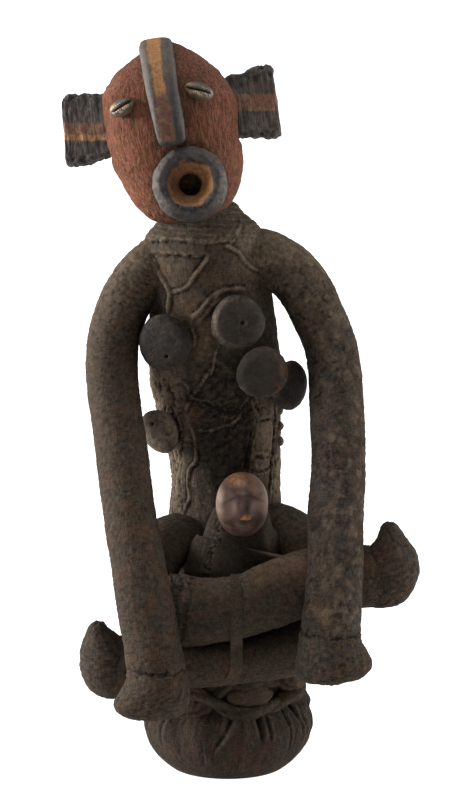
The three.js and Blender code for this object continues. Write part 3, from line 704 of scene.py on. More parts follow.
def grid_faces(rows, columns, ring, first):
    """Corner numbers of the quads of a grid, and of the triangles at its two poles."""
    column = np.arange(columns)
    beside = (column + 1) % columns
    if ring:
        row = np.arange(rows)[:, None] * columns + first
        below = np.roll(row, -1, axis=0)
    else:
        row = np.arange(rows - 3)[:, None] * columns + first + 1
        below = row + columns
    quads = np.stack([row + column, row + beside, below + beside, below + column], axis=-1).reshape(-1, 4)
    if ring:
        return quads, np.zeros((0, 3), int)
    last = first + 1 + (rows - 2) * columns
    top = np.stack([np.full(columns, first), first + 1 + beside, first + 1 + column], axis=-1)
    end = last - columns
    foot = np.stack([np.full(columns, last), end + column, end + beside], axis=-1)
    return quads, np.vstack([top, foot])


def pole_merged(values, ring):
    """A grid's values with each pole row brought to one value."""
    if ring:
        return values.reshape(-1, *values.shape[2:])
    inner = values[1:-1].reshape(-1, *values.shape[2:])
    return np.concatenate([values[0].mean(axis=0)[None], inner, values[-1].mean(axis=0)[None]])


MASKS = ("relief", "pale", "dark", "ochre", "warm", "worn")


def build(name, skins, material, nodes=()):
    """One mesh object of several skins, in metres, faces outwards, riding on the body."""
    points, flows, corners, sizes = [], [], [], []
    masks = {mask: [] for mask in MASKS}
    first = 0
    for skin in skins:
        rows, columns = skin.points.shape[:2]
        quads, triangles = grid_faces(rows, columns, skin.ring, first)
        merged = pole_merged(skin.points, skin.ring)
        fan = np.vstack([triangles, quads[:, :3], quads[:, [0, 2, 3]]]) - first
        a, b, c = (merged[fan[:, k]] for k in range(3))
        if np.einsum("ij,ij->", a, np.cross(b, c)) < 0:
            quads, triangles = quads[:, ::-1], triangles[:, ::-1]
        points.append(merged)
        flows.append(pole_merged(skin.flow, skin.ring))
        for mask in MASKS:
            values = skin.masks.get(mask, np.zeros((rows, columns)))
            masks[mask].append(pole_merged(values, skin.ring))
        corners += [quads.ravel(), triangles.ravel()]
        sizes += [np.full(len(quads), 4), np.full(len(triangles), 3)]
        first += len(merged)
    corners, sizes = np.concatenate(corners), np.concatenate(sizes)
    mesh = bpy.data.meshes.new(name)
    mesh.vertices.add(first)
    mesh.vertices.foreach_set("co", (np.concatenate(points) * MM).astype(np.float32).ravel())
    mesh.loops.add(len(corners))
    mesh.loops.foreach_set("vertex_index", corners.astype(np.int32))
    mesh.polygons.add(len(sizes))
    mesh.polygons.foreach_set("loop_start", np.concatenate([[0], np.cumsum(sizes)[:-1]]).astype(np.int32))
    mesh.polygons.foreach_set("use_smooth", np.ones(len(sizes), bool))
    mesh.update(calc_edges=True)
    if mesh.validate():
        raise RuntimeError(f"{name}: the grid made faces that aren't valid")
    flow = mesh.attributes.new("flow", "FLOAT_VECTOR", "POINT")
    flow.data.foreach_set("vector", np.concatenate(flows).astype(np.float32).ravel())
    for mask in MASKS:
        layer = mesh.attributes.new(mask, "FLOAT", "POINT")
        layer.data.foreach_set("value", np.concatenate(masks[mask]).astype(np.float32))
    piece = bpy.data.objects.new(name, mesh)
    piece.data.materials.append(material)
    bpy.context.scene.collection.objects.link(piece)
    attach(piece, "root")
    if nodes:
        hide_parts(*nodes)
    return piece


# Materials


class Graph:
    """Short ways to add linked nodes to a node tree."""

    def __init__(self, tree):
        self.tree = tree

    def add(self, kind, inputs=(), **values):
        """A new node; its inputs are numbers, colours or other nodes' outputs."""
        node = self.tree.nodes.new(kind)
        for key, value in values.items():
            setattr(node, key, value)
        return self.feed(node, dict(inputs))

    def feed(self, node, inputs):
        """Sets or links a node's inputs."""
        for key, value in inputs.items():
            if isinstance(value, bpy.types.NodeSocket):
                self.tree.links.new(value, node.inputs[key])
            else:
                node.inputs[key].default_value = value
        return node

    def mask(self, name):
        """A mask that the mesh holds."""
        return self.add("ShaderNodeAttribute", attribute_name=name).outputs["Fac"]

    def flow(self):
        """Each point's place on the unrolled cloth, in millimetres."""
        return self.add("ShaderNodeAttribute", attribute_name="flow").outputs["Vector"]

    def noise(self, vector, scale, detail=3.0, roughness=0.55, distortion=0.0):
        """Noise from 0 to 1."""
        inputs = {
            "Vector": vector, "Scale": scale, "Detail": detail, "Roughness": roughness,
            "Distortion": distortion,
        }
        return self.add("ShaderNodeTexNoise", inputs).outputs["Fac"]

    def stretched(self, vector, factors):
        """The vector times another."""
        node = self.add("ShaderNodeVectorMath", {0: vector, 1: factors}, operation="MULTIPLY")
        return node.outputs["Vector"]

    def maths(self, operation, first, second=0.0, clamp=False):
        """A sum, product or the like of two values."""
        node = self.add("ShaderNodeMath", {0: first, 1: second}, operation=operation, use_clamp=clamp)
        return node.outputs[0]

    def times(self, first, second, clamp=False):
        """The product of two values."""
        return self.maths("MULTIPLY", first, second, clamp)

    def step(self, value, low, high, start=0.0, end=1.0):
        """A smooth step from start to end as the value goes from low to high."""
        inputs = {"Value": value, 1: low, 2: high, 3: start, 4: end}
        node = self.add("ShaderNodeMapRange", inputs, interpolation_type="SMOOTHSTEP")
        return node.outputs[0]

    def mix(self, factor, first, second, blend="MIX"):
        """The second colour over the first."""
        inputs = {0: factor, 6: first, 7: second}
        node = self.add("ShaderNodeMix", inputs, data_type="RGBA", blend_type=blend)
        return node.outputs[2]

    def use(self, group, inputs):
        """A shared node group with its own values."""
        return self.add("ShaderNodeGroup", inputs, node_tree=group).outputs

    def veil(self, mask, amount, first, second):
        """The second colour over the first, by an amount of a mask."""
        return self.mix(self.times(mask, amount), first, second)

    def patches(self, vector, size, low, high):
        """Where soft patches of a size in millimetres are."""
        inputs = {"Vector": vector, "Size": size, "Low": low, "High": high}
        return self.use(mottle_group(), inputs)["Mask"]

    def specks(self, vector, size, share):
        """Where small specks of a size in millimetres are."""
        return self.use(fleck_group(), {"Vector": vector, "Size": size, "Share": share})["Mask"]

    def dust_dirt_and_shade(self, vector, size, colour, dust, grime_and_shade, ridges, hollows):
        """A colour under dust, dirt and painted shade, which lie where the masks of the mesh say."""
        inputs = {
            "Vector": vector, "Size": size, "Colour": colour, "Dust": dust, "Grime": grime_and_shade,
            "On ridges": ridges, "In hollows": hollows,
        }
        inputs |= {mask.title(): self.mask(mask) for mask in ("relief", "pale", "dark")}
        return self.use(dust_dirt_shade_group(), inputs)["Colour"]


def shared_group(name, inputs, outputs, make):
    """The node group of that name, made once, with the kinds of its inputs and outputs: make takes a
    Graph and the group's input sockets and returns the values of its outputs."""
    tree = bpy.data.node_groups.get(name)
    if tree:
        return tree
    tree = bpy.data.node_groups.new(name, "ShaderNodeTree")
    for way, sockets in (("INPUT", inputs), ("OUTPUT", outputs)):
        for label, kind in sockets.items():
            tree.interface.new_socket(label, in_out=way, socket_type=f"NodeSocket{kind}")
    graph = Graph(tree)
    graph.add("NodeGroupOutput", make(graph, graph.add("NodeGroupInput").outputs))
    return tree


def mottle_group():
    """Soft patches: noise of a size in millimetres, between a low and a high limit."""

    def make(graph, source):
        scale = graph.maths("DIVIDE", 1.0, source["Size"])
        value = graph.noise(source["Vector"], scale, 4.0, 0.6, 0.3)
        return {"Mask": graph.step(value, source["Low"], source["High"])}

    inputs = {"Vector": "Vector", "Size": "Float", "Low": "Float", "High": "Float"}
    return shared_group("Mottle", inputs, {"Mask": "Float"}, make)


def grain_group():
    """Rough woven cloth: two noises, each drawn out along one way of the threads, and fuzz."""

    def make(graph, source):
        scale = graph.maths("DIVIDE", 1.0, source["Thread"])
        weft = graph.noise(graph.stretched(source["Flow"], (0.3, 0.3, 1.0)), scale, 2.0)
        warp = graph.noise(graph.stretched(source["Flow"], (1.0, 1.0, 0.22)), scale, 2.0)
        fuzz = graph.noise(source["Flow"], graph.times(scale, 1.6), 3.0, 0.65)
        woven = graph.maths("ADD", weft, warp)
        height = graph.maths("ADD", woven, graph.times(fuzz, source["Fuzz"]))
        return {"Height": height, "Value": graph.step(woven, 0.75, 1.25)}

    inputs = {"Flow": "Vector", "Thread": "Float", "Fuzz": "Float"}
    return shared_group("Cloth grain", inputs, {"Height": "Float", "Value": "Float"}, make)


def fibre_group():
    """Fibres that run along the third axis: noise drawn out that way, in two widths."""

    def make(graph, source):
        scale = graph.maths("DIVIDE", 1.0, source["Width"])
        coarse = graph.noise(graph.stretched(source["Flow"], (1.0, 1.0, 0.15)), scale, 2.0, 0.6)
        fine = graph.noise(
            graph.stretched(source["Flow"], (1.0, 1.0, 0.24)), graph.times(scale, 2.3), 2.0, 0.6
        )
        height = graph.maths("ADD", coarse, graph.times(fine, 0.6))
        return {"Height": height, "Value": graph.step(height, 0.62, 0.98)}

    inputs = {"Flow": "Vector", "Width": "Float"}
    return shared_group("Fibres", inputs, {"Height": "Float", "Value": "Float"}, make)


def fleck_group():
    """Small separate specks: the share of fine noise above a limit."""

    def make(graph, source):
        scale = graph.maths("DIVIDE", 1.0, source["Size"])
        value = graph.noise(source["Vector"], scale, 2.0, 0.5)
        limit = graph.maths("SUBTRACT", 0.78, source["Share"])
        soft = graph.maths("ADD", limit, 0.05)
        return {"Mask": graph.step(value, limit, soft)}

    inputs = {"Vector": "Vector", "Size": "Float", "Share": "Float"}
    return shared_group("Flecks", inputs, {"Mask": "Float"}, make)


def dust_dirt_shade_group():
    """Wear and painted shade of a surface: pale dust on what stands out and where the mesh says so, and the
    dark colour in the hollows and where the mesh says so, as dirt and painted shade, both broken up by
    noise."""

    def make(graph, source):
        noise = graph.noise(source["Vector"], graph.maths("DIVIDE", 1.0, source["Size"]), 4.0, 0.65)
        broken = graph.step(noise, 0.3, 0.7)
        high = graph.times(source["Relief"], source["On ridges"])
        high = graph.maths("ADD", graph.maths("MAXIMUM", high, 0.0), source["Pale"])
        high = graph.times(high, graph.maths("ADD", broken, 0.35), clamp=True)
        low = graph.times(source["Relief"], graph.times(source["In hollows"], -1.0))
        low = graph.maths("ADD", graph.maths("MAXIMUM", low, 0.0), source["Dark"])
        low = graph.times(low, graph.maths("SUBTRACT", 1.25, broken), clamp=True)
        colour = graph.mix(high, source["Colour"], source["Dust"])
        return {"Colour": graph.mix(low, colour, source["Grime"])}

    inputs = {"Vector": "Vector", "Size": "Float", "Colour": "Color", "Dust": "Color", "Grime": "Color"}
    inputs |= dict.fromkeys(("Relief", "Pale", "Dark", "On ridges", "In hollows"), "Float")
    return shared_group("Dust and grime", inputs, {"Colour": "Color"}, make)


def full(colour, gain=1.0):
    """A colour property as four numbers, made lighter or darker."""
    return (*(min(1.0, part * gain) for part in colour), 1.0)


def new_material(name):
    """A material with its Graph, and the colours of the current scene."""
    material = bpy.data.materials.new(name)
    material.use_nodes = True
    _, colours, _ = settings()
    return material, Graph(material.node_tree), colours


def finish_surface(material, colour, roughness, height, depth, specular):
    """Joins colour, roughness and a bump, whose depth is in millimetres, to the material's shader,
    with the level of its shine."""
    graph = Graph(material.node_tree)
    bump = graph.add("ShaderNodeBump", {"Height": height, "Distance": depth * MM, "Strength": 1.0})
    graph.feed(graph.tree.nodes["Principled BSDF"], {
        "Base Color": colour, "Roughness": roughness, "Normal": bump.outputs["Normal"],
        "Specular IOR Level": specular,
    })
    return material


def cloth_material(name, light, thread, earth, grey, ridges, flecks, seed):
    """Soiled woven cloth: brown and grey patches, rubbed-in earth, dust, dirt and painted shade in the
    hollows and the dark places of the mesh, and dark specks. thread is a share of the scene's thread width,
    and the seed moves the patches."""
    sizes, _, _ = settings()
    material, graph, colours = new_material(name)
    flow = graph.flow()
    moved = graph.add("ShaderNodeVectorMath", {0: flow, 1: (seed, 2 * seed, -seed)}, operation="ADD")
    place = moved.outputs["Vector"]
    patch = graph.patches(place, 36.0, 0.40, 0.64)
    small = graph.patches(place, 11.0, 0.38, 0.70)
    tiny = graph.patches(place, 3.2, 0.42, 0.66)
    colour = graph.veil(patch, grey, full(colours.cloth, light), full(colours.cloth_grey, light))
    rubbed = graph.times(small, earth)
    rubbed = graph.maths("ADD", rubbed, graph.mask("warm"), clamp=True)
    colour = graph.mix(rubbed, colour, full(colours.earth, light))
    colour = graph.veil(tiny, 0.12, colour, full(colours.dust, 0.6 * light))
    woven = graph.use(grain_group(), {"Flow": place, "Thread": sizes.thread / MM * thread, "Fuzz": 1.0})
    shade = graph.mix(woven["Value"], (0.70, 0.69, 0.68, 1), (1.22, 1.21, 1.20, 1))
    colour = graph.mix(1.0, colour, shade, "MULTIPLY")
    dust, grime_and_shade = full(colours.dust, light), full(colours.grime_and_shade)
    colour = graph.dust_dirt_and_shade(place, 4.5, colour, dust, grime_and_shade, ridges, 0.4)
    speck = graph.specks(place, 1.7, flecks)
    speck = graph.times(speck, 0.5)
    colour = graph.mix(speck, colour, full(colours.grime_and_shade))
    roughness = graph.step(woven["Value"], 0, 1, 0.95, 0.78)
    height = graph.maths("SUBTRACT", woven["Height"], graph.times(speck, 0.8))
    return finish_surface(material, colour, roughness, height, 0.75, 0.1)


def felt_material():
    """Fibrous red cloth: combed upright, violet-brown above, more orange where it is worn at the left cheek,
    olive and dark where it is soiled, and dark as painted shade round the ears, the nose bar and the mouth
    ring, under the chin and in the mouth's pit."""
    material, graph, colours = new_material("Red felted cloth")
    flow = graph.flow()
    fibres = graph.use(fibre_group(), {"Flow": flow, "Width": 1.3})
    patch = graph.patches(flow, 20.0, 0.36, 0.66)
    small = graph.patches(flow, 4.5, 0.36, 0.70)
    colour = graph.veil(graph.mask("worn"), 0.55, full(colours.felt), full((0.075, 0.033, 0.030)))
    olive = graph.patches(flow, 9.0, 0.45, 0.68)
    colour = graph.veil(patch, 0.35, colour, full(colours.felt_dark, 1.2))
    colour = graph.veil(olive, 0.45, colour, full((0.085, 0.052, 0.026)))
    bare = graph.times(graph.mask("warm"), small)
    colour = graph.mix(bare, colour, full((0.185, 0.077, 0.036)))
    colour = graph.veil(small, 0.4, colour, full(colours.earth, 1.25))
    shade = graph.mix(fibres["Value"], (0.60, 0.58, 0.57, 1), (1.30, 1.28, 1.26, 1))
    colour = graph.mix(1.0, colour, shade, "MULTIPLY")
    dust, grime_and_shade = full(colours.earth, 1.4), full((0.024, 0.019, 0.010))
    colour = graph.dust_dirt_and_shade(flow, 4.0, colour, dust, grime_and_shade, 0.35, 0.5)
    speck = graph.specks(flow, 1.8, 0.18)
    colour = graph.veil(speck, 0.6, colour, full(colours.felt_dark, 0.6))
    roughness = graph.step(fibres["Value"], 0, 1, 0.95, 0.8)
    return finish_surface(material, colour, roughness, fibres["Height"], 0.9, 0.1)


def painted_material(name, fibrous):
    """Worn paint on wood or on upright fibres: dark grey-blue, with ochre and rust where the mesh
    says so."""
    material, graph, colours = new_material(name)
    flow = graph.flow()
    patch = graph.patches(flow, 12.0, 0.40, 0.62)
    small = graph.patches(flow, 2.6, 0.42, 0.66)
    gain = 1.9 if fibrous else 1.0
    dark = graph.mix(patch, full(colours.paint_dark, 0.6 * gain), full(colours.paint_dark, 1.15 * gain))
    dark = graph.veil(small, 0.4, dark, full(colours.dust, 0.7))
    light = 2.0 if fibrous else 1.1
    ochre = graph.veil(small, 0.4, full(colours.paint_ochre, light), full(colours.earth, 0.8))
    rust = graph.veil(small, 0.4, full(colours.paint_rust, light), full(colours.felt_dark))
    colour = graph.mix(graph.mask("ochre"), dark, ochre)
    colour = graph.mix(graph.mask("warm"), colour, rust)
    fibres = graph.use(fibre_group(), {"Flow": flow, "Width": 1.7 if fibrous else 1.2})
    contrast = 0.9 if fibrous else 0.4
    shade = graph.mix(fibres["Value"], (0.55, 0.53, 0.52, 1), (1.3, 1.28, 1.26, 1))
    shaded = graph.mix(1.0, colour, shade, "MULTIPLY")
    colour = graph.mix(contrast, colour, shaded)
    dust, grime_and_shade = full(colours.dust, 0.9), full(colours.grime_and_shade, 0.8)
    colour = graph.dust_dirt_and_shade(flow, 3.0, colour, dust, grime_and_shade, 0.3, 0.7)
    speck = graph.specks(flow, 1.6, 0.10)
    colour = graph.veil(speck, 0.7, colour, full(colours.grime_and_shade, 0.7))
    roughness = graph.step(small, 0, 1, 0.62, 0.85)
    height = graph.maths("SUBTRACT", fibres["Height"], graph.times(speck, 0.6))
    return finish_surface(material, colour, roughness, height, 1.1 if fibrous else 0.35, 0.25)


def shell_material():
    """Stained cowrie shell: glossy, grey-brown with a cream lip where it is worn and a cream painted
    highlight, dark as painted shade in the slit and between the teeth, and dark on its upper lip.
    """
    material, graph, colours = new_material("Cowrie shell")
    flow = graph.flow()
    patch = graph.patches(flow, 5.0, 0.40, 0.62)
    colour = graph.mix(patch, full(colours.shell, 0.6), full(colours.shell, 1.0))
    colour = graph.mix(graph.mask("worn"), colour, full((0.52, 0.36, 0.20)))
    colour = graph.mix(graph.mask("dark"), colour, full(colours.grime_and_shade, 0.6))
    roughness = graph.step(patch, 0, 1, 0.6, 0.42)
    return finish_surface(material, colour, roughness, graph.noise(flow, 1.4), 0.15, 0.5)


def seed_material():
    """A dark seed under dust, smooth below it."""
    material, graph, colours = new_material("Dusty seed")
    flow = graph.flow()
    patch = graph.patches(flow, 14.0, 0.38, 0.64)
    small = graph.patches(flow, 2.8, 0.42, 0.66)
    brown = graph.patches(flow, 7.0, 0.42, 0.66)
    colour = graph.mix(patch, full(colours.seed, 0.4), full(colours.seed, 1.05))
    colour = graph.veil(brown, 0.4, colour, full(colours.earth, 0.45))
    colour = graph.mix(graph.mask("warm"), colour, full(colours.felt, 0.6))
    colour = graph.veil(small, 0.35, colour, full(colours.dust, 0.4))
    dust, grime_and_shade = full(colours.dust, 0.85), full(colours.grime_and_shade, 0.7)
    colour = graph.dust_dirt_and_shade(flow, 4.0, colour, dust, grime_and_shade, 0.4, 0.5)
    speck = graph.specks(flow, 1.6, 0.16)
    colour = graph.veil(speck, 0.6, colour, full(colours.grime_and_shade, 0.8))
    roughness = graph.step(small, 0, 1, 0.7, 0.9)
    height = graph.maths("SUBTRACT", graph.noise(flow, 0.6, 4.0), graph.times(speck, 0.5))
    return finish_surface(material, colour, roughness, height, 0.4, 0.15)


def wood_material():
    """Handled wood of the small head: reddish brown, glossy, ochre where it is rubbed bare, violet where the
    pale mask paints a sheen, pinkish tan where the worn mask paints highlights and wear, and dark where the
    dark mask paints stains and shade.
    """
    material, graph, colours = new_material("Handled wood")
    flow = graph.flow()
    streak = graph.noise(graph.stretched(flow, (0.35, 0.35, 0.06)), 1.0, 4.0, 0.6, 0.4)
    streaks = graph.step(streak, 0.35, 0.65)
    patch = graph.patches(flow, 15.0, 0.40, 0.60)
    colour = graph.mix(streaks, full(colours.wood, 0.75), full(colours.wood, 1.2))
    colour = graph.veil(patch, 0.5, colour, full((0.14, 0.088, 0.058)))
    # Violet where the pale mask is: a painted sheen in the eye hollows.
    colour = graph.veil(graph.mask("pale"), 0.7, colour, full((0.16, 0.098, 0.096)))
    # Pinkish tan where the worn mask is: painted highlights on the cheeks and sides of the face, partly
    # wear.
    colour = graph.mix(graph.mask("worn"), colour, full((0.30, 0.185, 0.125)))
    bare = graph.times(graph.mask("ochre"), graph.maths("ADD", streaks, 0.35), clamp=True)
    colour = graph.mix(bare, colour, full((0.36, 0.155, 0.055)))
    colour = graph.mix(graph.mask("dark"), colour, full(colours.grime_and_shade, 0.6))
    roughness = graph.step(patch, 0, 1, 0.5, 0.62)
    graph.feed(graph.tree.nodes["Principled BSDF"], {"Coat Weight": 0.06, "Coat Roughness": 0.35})
    return finish_surface(material, colour, roughness, streak, 0.25, 0.2)


def floor_material():
    """Plain pale floor, lit a little from below like a light table."""
    material, graph, colours = new_material("Pale floor")
    place = graph.add("ShaderNodeTexCoord").outputs["Object"]
    value = graph.step(graph.noise(place, 3.0, 2.0), 0.3, 0.7)
    colour = graph.mix(value, full(colours.floor, 0.985), full(colours.floor))
    graph.feed(graph.tree.nodes["Principled BSDF"], {
        "Base Color": colour, "Roughness": 0.9, "Emission Color": (1, 1, 1, 1), "Emission Strength": 1.0,
    })
    return material


# Surfaces of the pieces


def trunk_at(pairs):
    """A smooth curve through pairs whose second number is a height, and the trunk's middle and half
    sizes at each of its heights."""
    table = through(TRUNK, np.linspace(0, 1, 400))
    pairs = through(pairs, np.linspace(0, 1, 4 * (len(pairs) - 1) + 1))
    return pairs, *(np.interp(pairs[:, 1], table[:, 2], table[:, k]) for k in (0, 1, 3, 4))


def on_trunk(pairs):
    """Points on the trunk's front for x and z pairs: the ellipse of that height at the angle whose
    sine is x's share of the half width, joined by a smooth curve."""
    pairs, x, y, side, depth = trunk_at(pairs)
    sine = np.clip((pairs[:, 0] - x) / side, -0.985, 0.985)
    return np.stack([x + side * sine, y - depth * np.sqrt(1 - sine**2), pairs[:, 1]], axis=-1)


def around_trunk(pairs):
    """Points on the trunk for pairs of an angle from the front, in degrees, and a height."""
    pairs, x, y, side, depth = trunk_at(np.unwrap(np.asarray(pairs, float), period=360, axis=0))
    angle = np.radians(pairs[:, 0])
    return np.stack([x + side * np.sin(angle), y - depth * np.cos(angle), pairs[:, 1]], axis=-1)


def blots(skin, patches):
    """The sum of soft ellipses on the front of a skin, each a bell of its x and z distances."""
    x, _, z = skin.xyz()
    front = skin.front(-0.35, 0.1)
    return front * sum(
        amount * np.exp(-(((x - px) / half_x) ** 2) ** 1.5 - (((z - pz) / half_z) ** 2) ** 1.5)
        for px, pz, half_x, half_z, amount in patches
    )


def trunk_skin():
    """The trunk: its sleeve, with cords, folded edges, stitches, neck wraps, bark-like crust on the
    flanks and pads behind the seeds."""
    skin = sleeve(TRUNK, FRONT, (0.04, 0.04))
    x, _, z = skin.xyz()
    front = skin.front(-0.1, 0.3)
    skin.height += 1.2 * skin.rough(26, 3, 3) + 0.5 * skin.rough(8, 4, 3)
    skin.mark("pale", blots(skin, PALE_PATCHES))
    # Dark patches: painted shade with some dirt.
    skin.mark("dark", blots(skin, SHADE_AND_DIRT_PATCHES))
    skin.mark("pale", (1 - front) * 0.3 * smooth(skin.rough(22, 8, 3), -0.1, 0.5))
    for half_width, rise, place in TRUNK_LINES.values():
        skin.raised(on_trunk(place), 0.62 * half_width, 0.6 * rise)
    for line in BACK_LINES:
        skin.raised(around_trunk(line), 2.4, 1.6)
    for height, pairs in TRUNK_STEPS.values():
        edge = np.array(pairs, float)
        level = np.interp(x, edge[:, 0], edge[:, 1]) + 0.8 * bumps(skin.flow, 9, 15, 2)
        inside = smooth(x, edge[0, 0], edge[0, 0] + 8) * smooth(edge[-1, 0] - x, 0, 6) * front
        skin.height += height * inside * smooth(z - level, -0.8, 0.8) * bell(z - level, 11)
        # Painted shadow just under each folded edge, and a paler strip along its top.
        skin.mark("dark", 0.7 * inside * bell(z - level + 1.4, 1.4))
        skin.mark("pale", 0.2 * inside * bell(z - level - 2.0, 2.0))
    wraps = smooth(z, 455, 462)
    turn = (z + 0.06 * x + 2.2 * skin.rough(30, 21) + 0.5 * skin.rough(5, 22)) / 4.6
    wrap = turn - np.floor(turn)
    skin.height += 0.7 * wraps * (smooth(wrap, 0, 0.15) - wrap)
    # Painted shade under the lower edge of each turn of the wraps, and a paler band above it.
    skin.mark("dark", 0.3 * wraps * bell(wrap - 0.02, 0.12))
    skin.mark("pale", 0.15 * wraps * bell(wrap - 0.25, 0.2))
    skin.height -= 0.4 * wraps * cracks(skin.rest, 5, 23, (7, 7, 1))
    for offset in (0, 8, 17, 25):
        spot = soft_spot(x, z, -61 + 1.1 * offset, 449.5, 2.6, 1.1) * front
        skin.height -= 1.6 * spot
        skin.mark("dark", spot)
    crust = skin.masks["pale"]
    skin.height += (0.15 + 0.85 * crust) * skin.rough(3.0, 31) * smooth(z, 80, 110)
    skin.mark("warm", blots(skin, WARM_PATCHES))
    bark = np.clip(blots(skin, BARK_PATCHES), 0, 1)
    split = cracks(skin.rest, 7, 33, (1, 1, 3))
    skin.height -= 1.8 * bark * split
    skin.mark("dark", 0.6 * bark * split)
    fine = cracks(skin.rest, 6, 37)
    skin.height -= 0.3 * fine * (1 - bark)
    skin.mark("dark", 0.15 * fine)
    for line in TRUNK_CUTS:
        skin.cut(on_trunk(line), 1.2, 1.4, 0.8)
    for shape in SEEDS.values():
        pad = np.linalg.norm(skin.rest - np.array(shape["place"], float) - pad_shift(shape), axis=-1)
        skin.height += 4.5 * smooth(13.0 - pad, 0, 7)
        # Painted shade round each seed, on the trunk behind it.
        skin.mark("dark", 0.5 * smooth(20.0 - pad, 0, 8))
    return skin.settle()


def pad_shift(shape):
    """From a seed's middle to the place on the trunk behind it."""
    facing = unit(np.array(shape["facing"], float))
    return -facing * (SEED_THICKNESS / 2 + 4)


def stuffed(stations, towards, caps, seed, lumps=0.7, crust=0.3, across=0.35, level=False):
    """A limb of stuffed cloth: its sleeve with soft lumps, crust, and short cracks that run round
    it."""
    skin = sleeve(stations, towards, caps, level=level)
    skin.height += lumps * bumps(skin.flow, 30, seed, 2) + 0.5 * lumps * bumps(skin.flow, 11, seed + 1, 2)
    skin.height += 1.4 * crust * bumps(skin.flow, 3.2, seed + 2, 2)
    grain = cracks(skin.flow, 6, seed + 3, (2.2, 2.2, 1))
    skin.height -= across * grain
    skin.mark("dark", 0.3 * grain + 0.25 * smooth(-bumps(skin.flow, 7, seed + 5, 2), 0.25, 0.6))
    skin.mark("warm", 0.4 * smooth(bumps(skin.flow, 17, seed + 4), 0.0, 0.7))
    return skin


def pucker(skin, level, reach, seed):
    """The gathered cloth above a sewn join round a limb: short pleats and dark stitches just above a height,
    with painted shade in the hollows of the pleats."""
    z = skin.rest[..., 2] + 1.6 * skin.rough(16, seed) - level
    above = smooth(z, -1, 1) * bell(z, reach)
    pleats = bumps(skin.flow, 2.6, seed + 1, 2, (1, 1, 2.4))
    stitches = bell(z - 1.6, 1.5) * smooth(bumps(skin.flow, 5, seed + 2, 2), -0.35, 0.25)
    skin.height += 0.8 * above * pleats - 1.3 * stitches
    skin.mark("dark", 0.85 * stitches + 0.35 * above * smooth(-pleats, 0, 0.5))


def arm_left_skin():
    """The left arm, with its crusted armpit and the sewn wrist."""
    skin = stuffed(ARM_LEFT, FRONT, (0.07, 0.02), 101)
    z = skin.rest[..., 2]
    pucker(skin, 113.5, 7, 111)
    # Paler on the outer, left side, as a painted highlight where the strong light falls, and paler towards
    # the shoulder; darker on the inner side towards the trunk, as painted shade.
    outer = smooth(-skin.normals[..., 0], 0.0, 0.8) * smooth(z, 170, 420)
    skin.mark("pale", 0.25 * outer + 0.35 * smooth(z, 425, 455) + 0.3 * smooth(z, 360, 430))
    inner = smooth(skin.normals[..., 0], 0.1, 0.7)
    skin.mark("dark", 0.35 * inner * smooth(z, 330, 390))
    skin.height += 0.8 * smooth(z, 395, 430) * skin.rough(4.5, 118)
    skin.cut([(-88, -57, 312), (-87, -60, 300), (-86.5, -63, 290)], 1.2, 0.8, 0.5)
    return skin.settle()


def arm_right_skin():
    """The right arm, with a line of stitches down its front and the sewn wrist."""
    skin = stuffed(ARM_RIGHT, FRONT, (0.07, 0.02), 131)
    x, _, z = skin.xyz()
    pucker(skin, 143, 7, 141)
    # Darker on the inner side, towards the trunk: painted shade.
    skin.mark("dark", 0.3 * smooth(-skin.normals[..., 0], 0.2, 0.8) * smooth(z, 330, 400))
    line = bell(x - 83, 1.4) * skin.front(0.5, 0.8) * smooth(300 - z, 0, 6)
    line = line * smooth(z, 262, 268)
    skin.height -= 0.7 * line * (0.6 + 0.6 * np.sin(z * 2.2))
    # inner is the side towards the trunk, darkened below as painted shade.
    inner = smooth(-skin.normals[..., 0], 0.2, 0.9) * smooth(400 - z, 0, 60)
    streaks = smooth(bumps(skin.flow, 9, 149), 0.0, 0.4) * (1 - inner)
    skin.mark("pale", 0.25 * smooth(z, 430, 455) + 0.3 * smooth(z, 360, 430) + 0.5 * streaks)
    skin.mark("dark", 0.5 * line + 0.4 * inner + 0.35 * smooth(bumps(skin.flow, 12, 148), 0.05, 0.4))
    return skin.settle()


def hand_skin(stations, seed):
    """A hand: a bag of crusted cloth that goes on from the arm and swells to one side. Its upper edge
    is turned in, a little uneven, and stands out from the arm."""
    skin = stuffed(stations, FRONT, (0.02, 0.05), seed, 0.8, 0.4, 0.5, True)
    down = np.linspace(0, 1, len(skin.points))[:, None]
    edge = smooth(0.12 - down, 0, 0.08)
    skin.points[..., 2] += 1.5 * edge * skin.rough(12, seed + 8)
    skin.height += 0.45 * skin.rough(4.0, seed + 9) + 0.4 * smooth(0.2 - down, 0, 0.15)
    # Darker in patches over the lower half: painted shade under the hand.
    skin.mark("dark", 0.3 * smooth(down, 0.45, 0.8) * smooth(skin.rough(13, seed + 10), -0.1, 0.5))
    return skin.settle()


def foot_skin(stations, seed):
    """A foot: an upright bag of crusted cloth."""
    skin = stuffed(stations, FRONT, (0.12, 0.12), seed, 0.9, 0.35, 0.5, True)
    skin.height += 0.4 * skin.rough(4.5, seed + 9)
    return skin.settle()


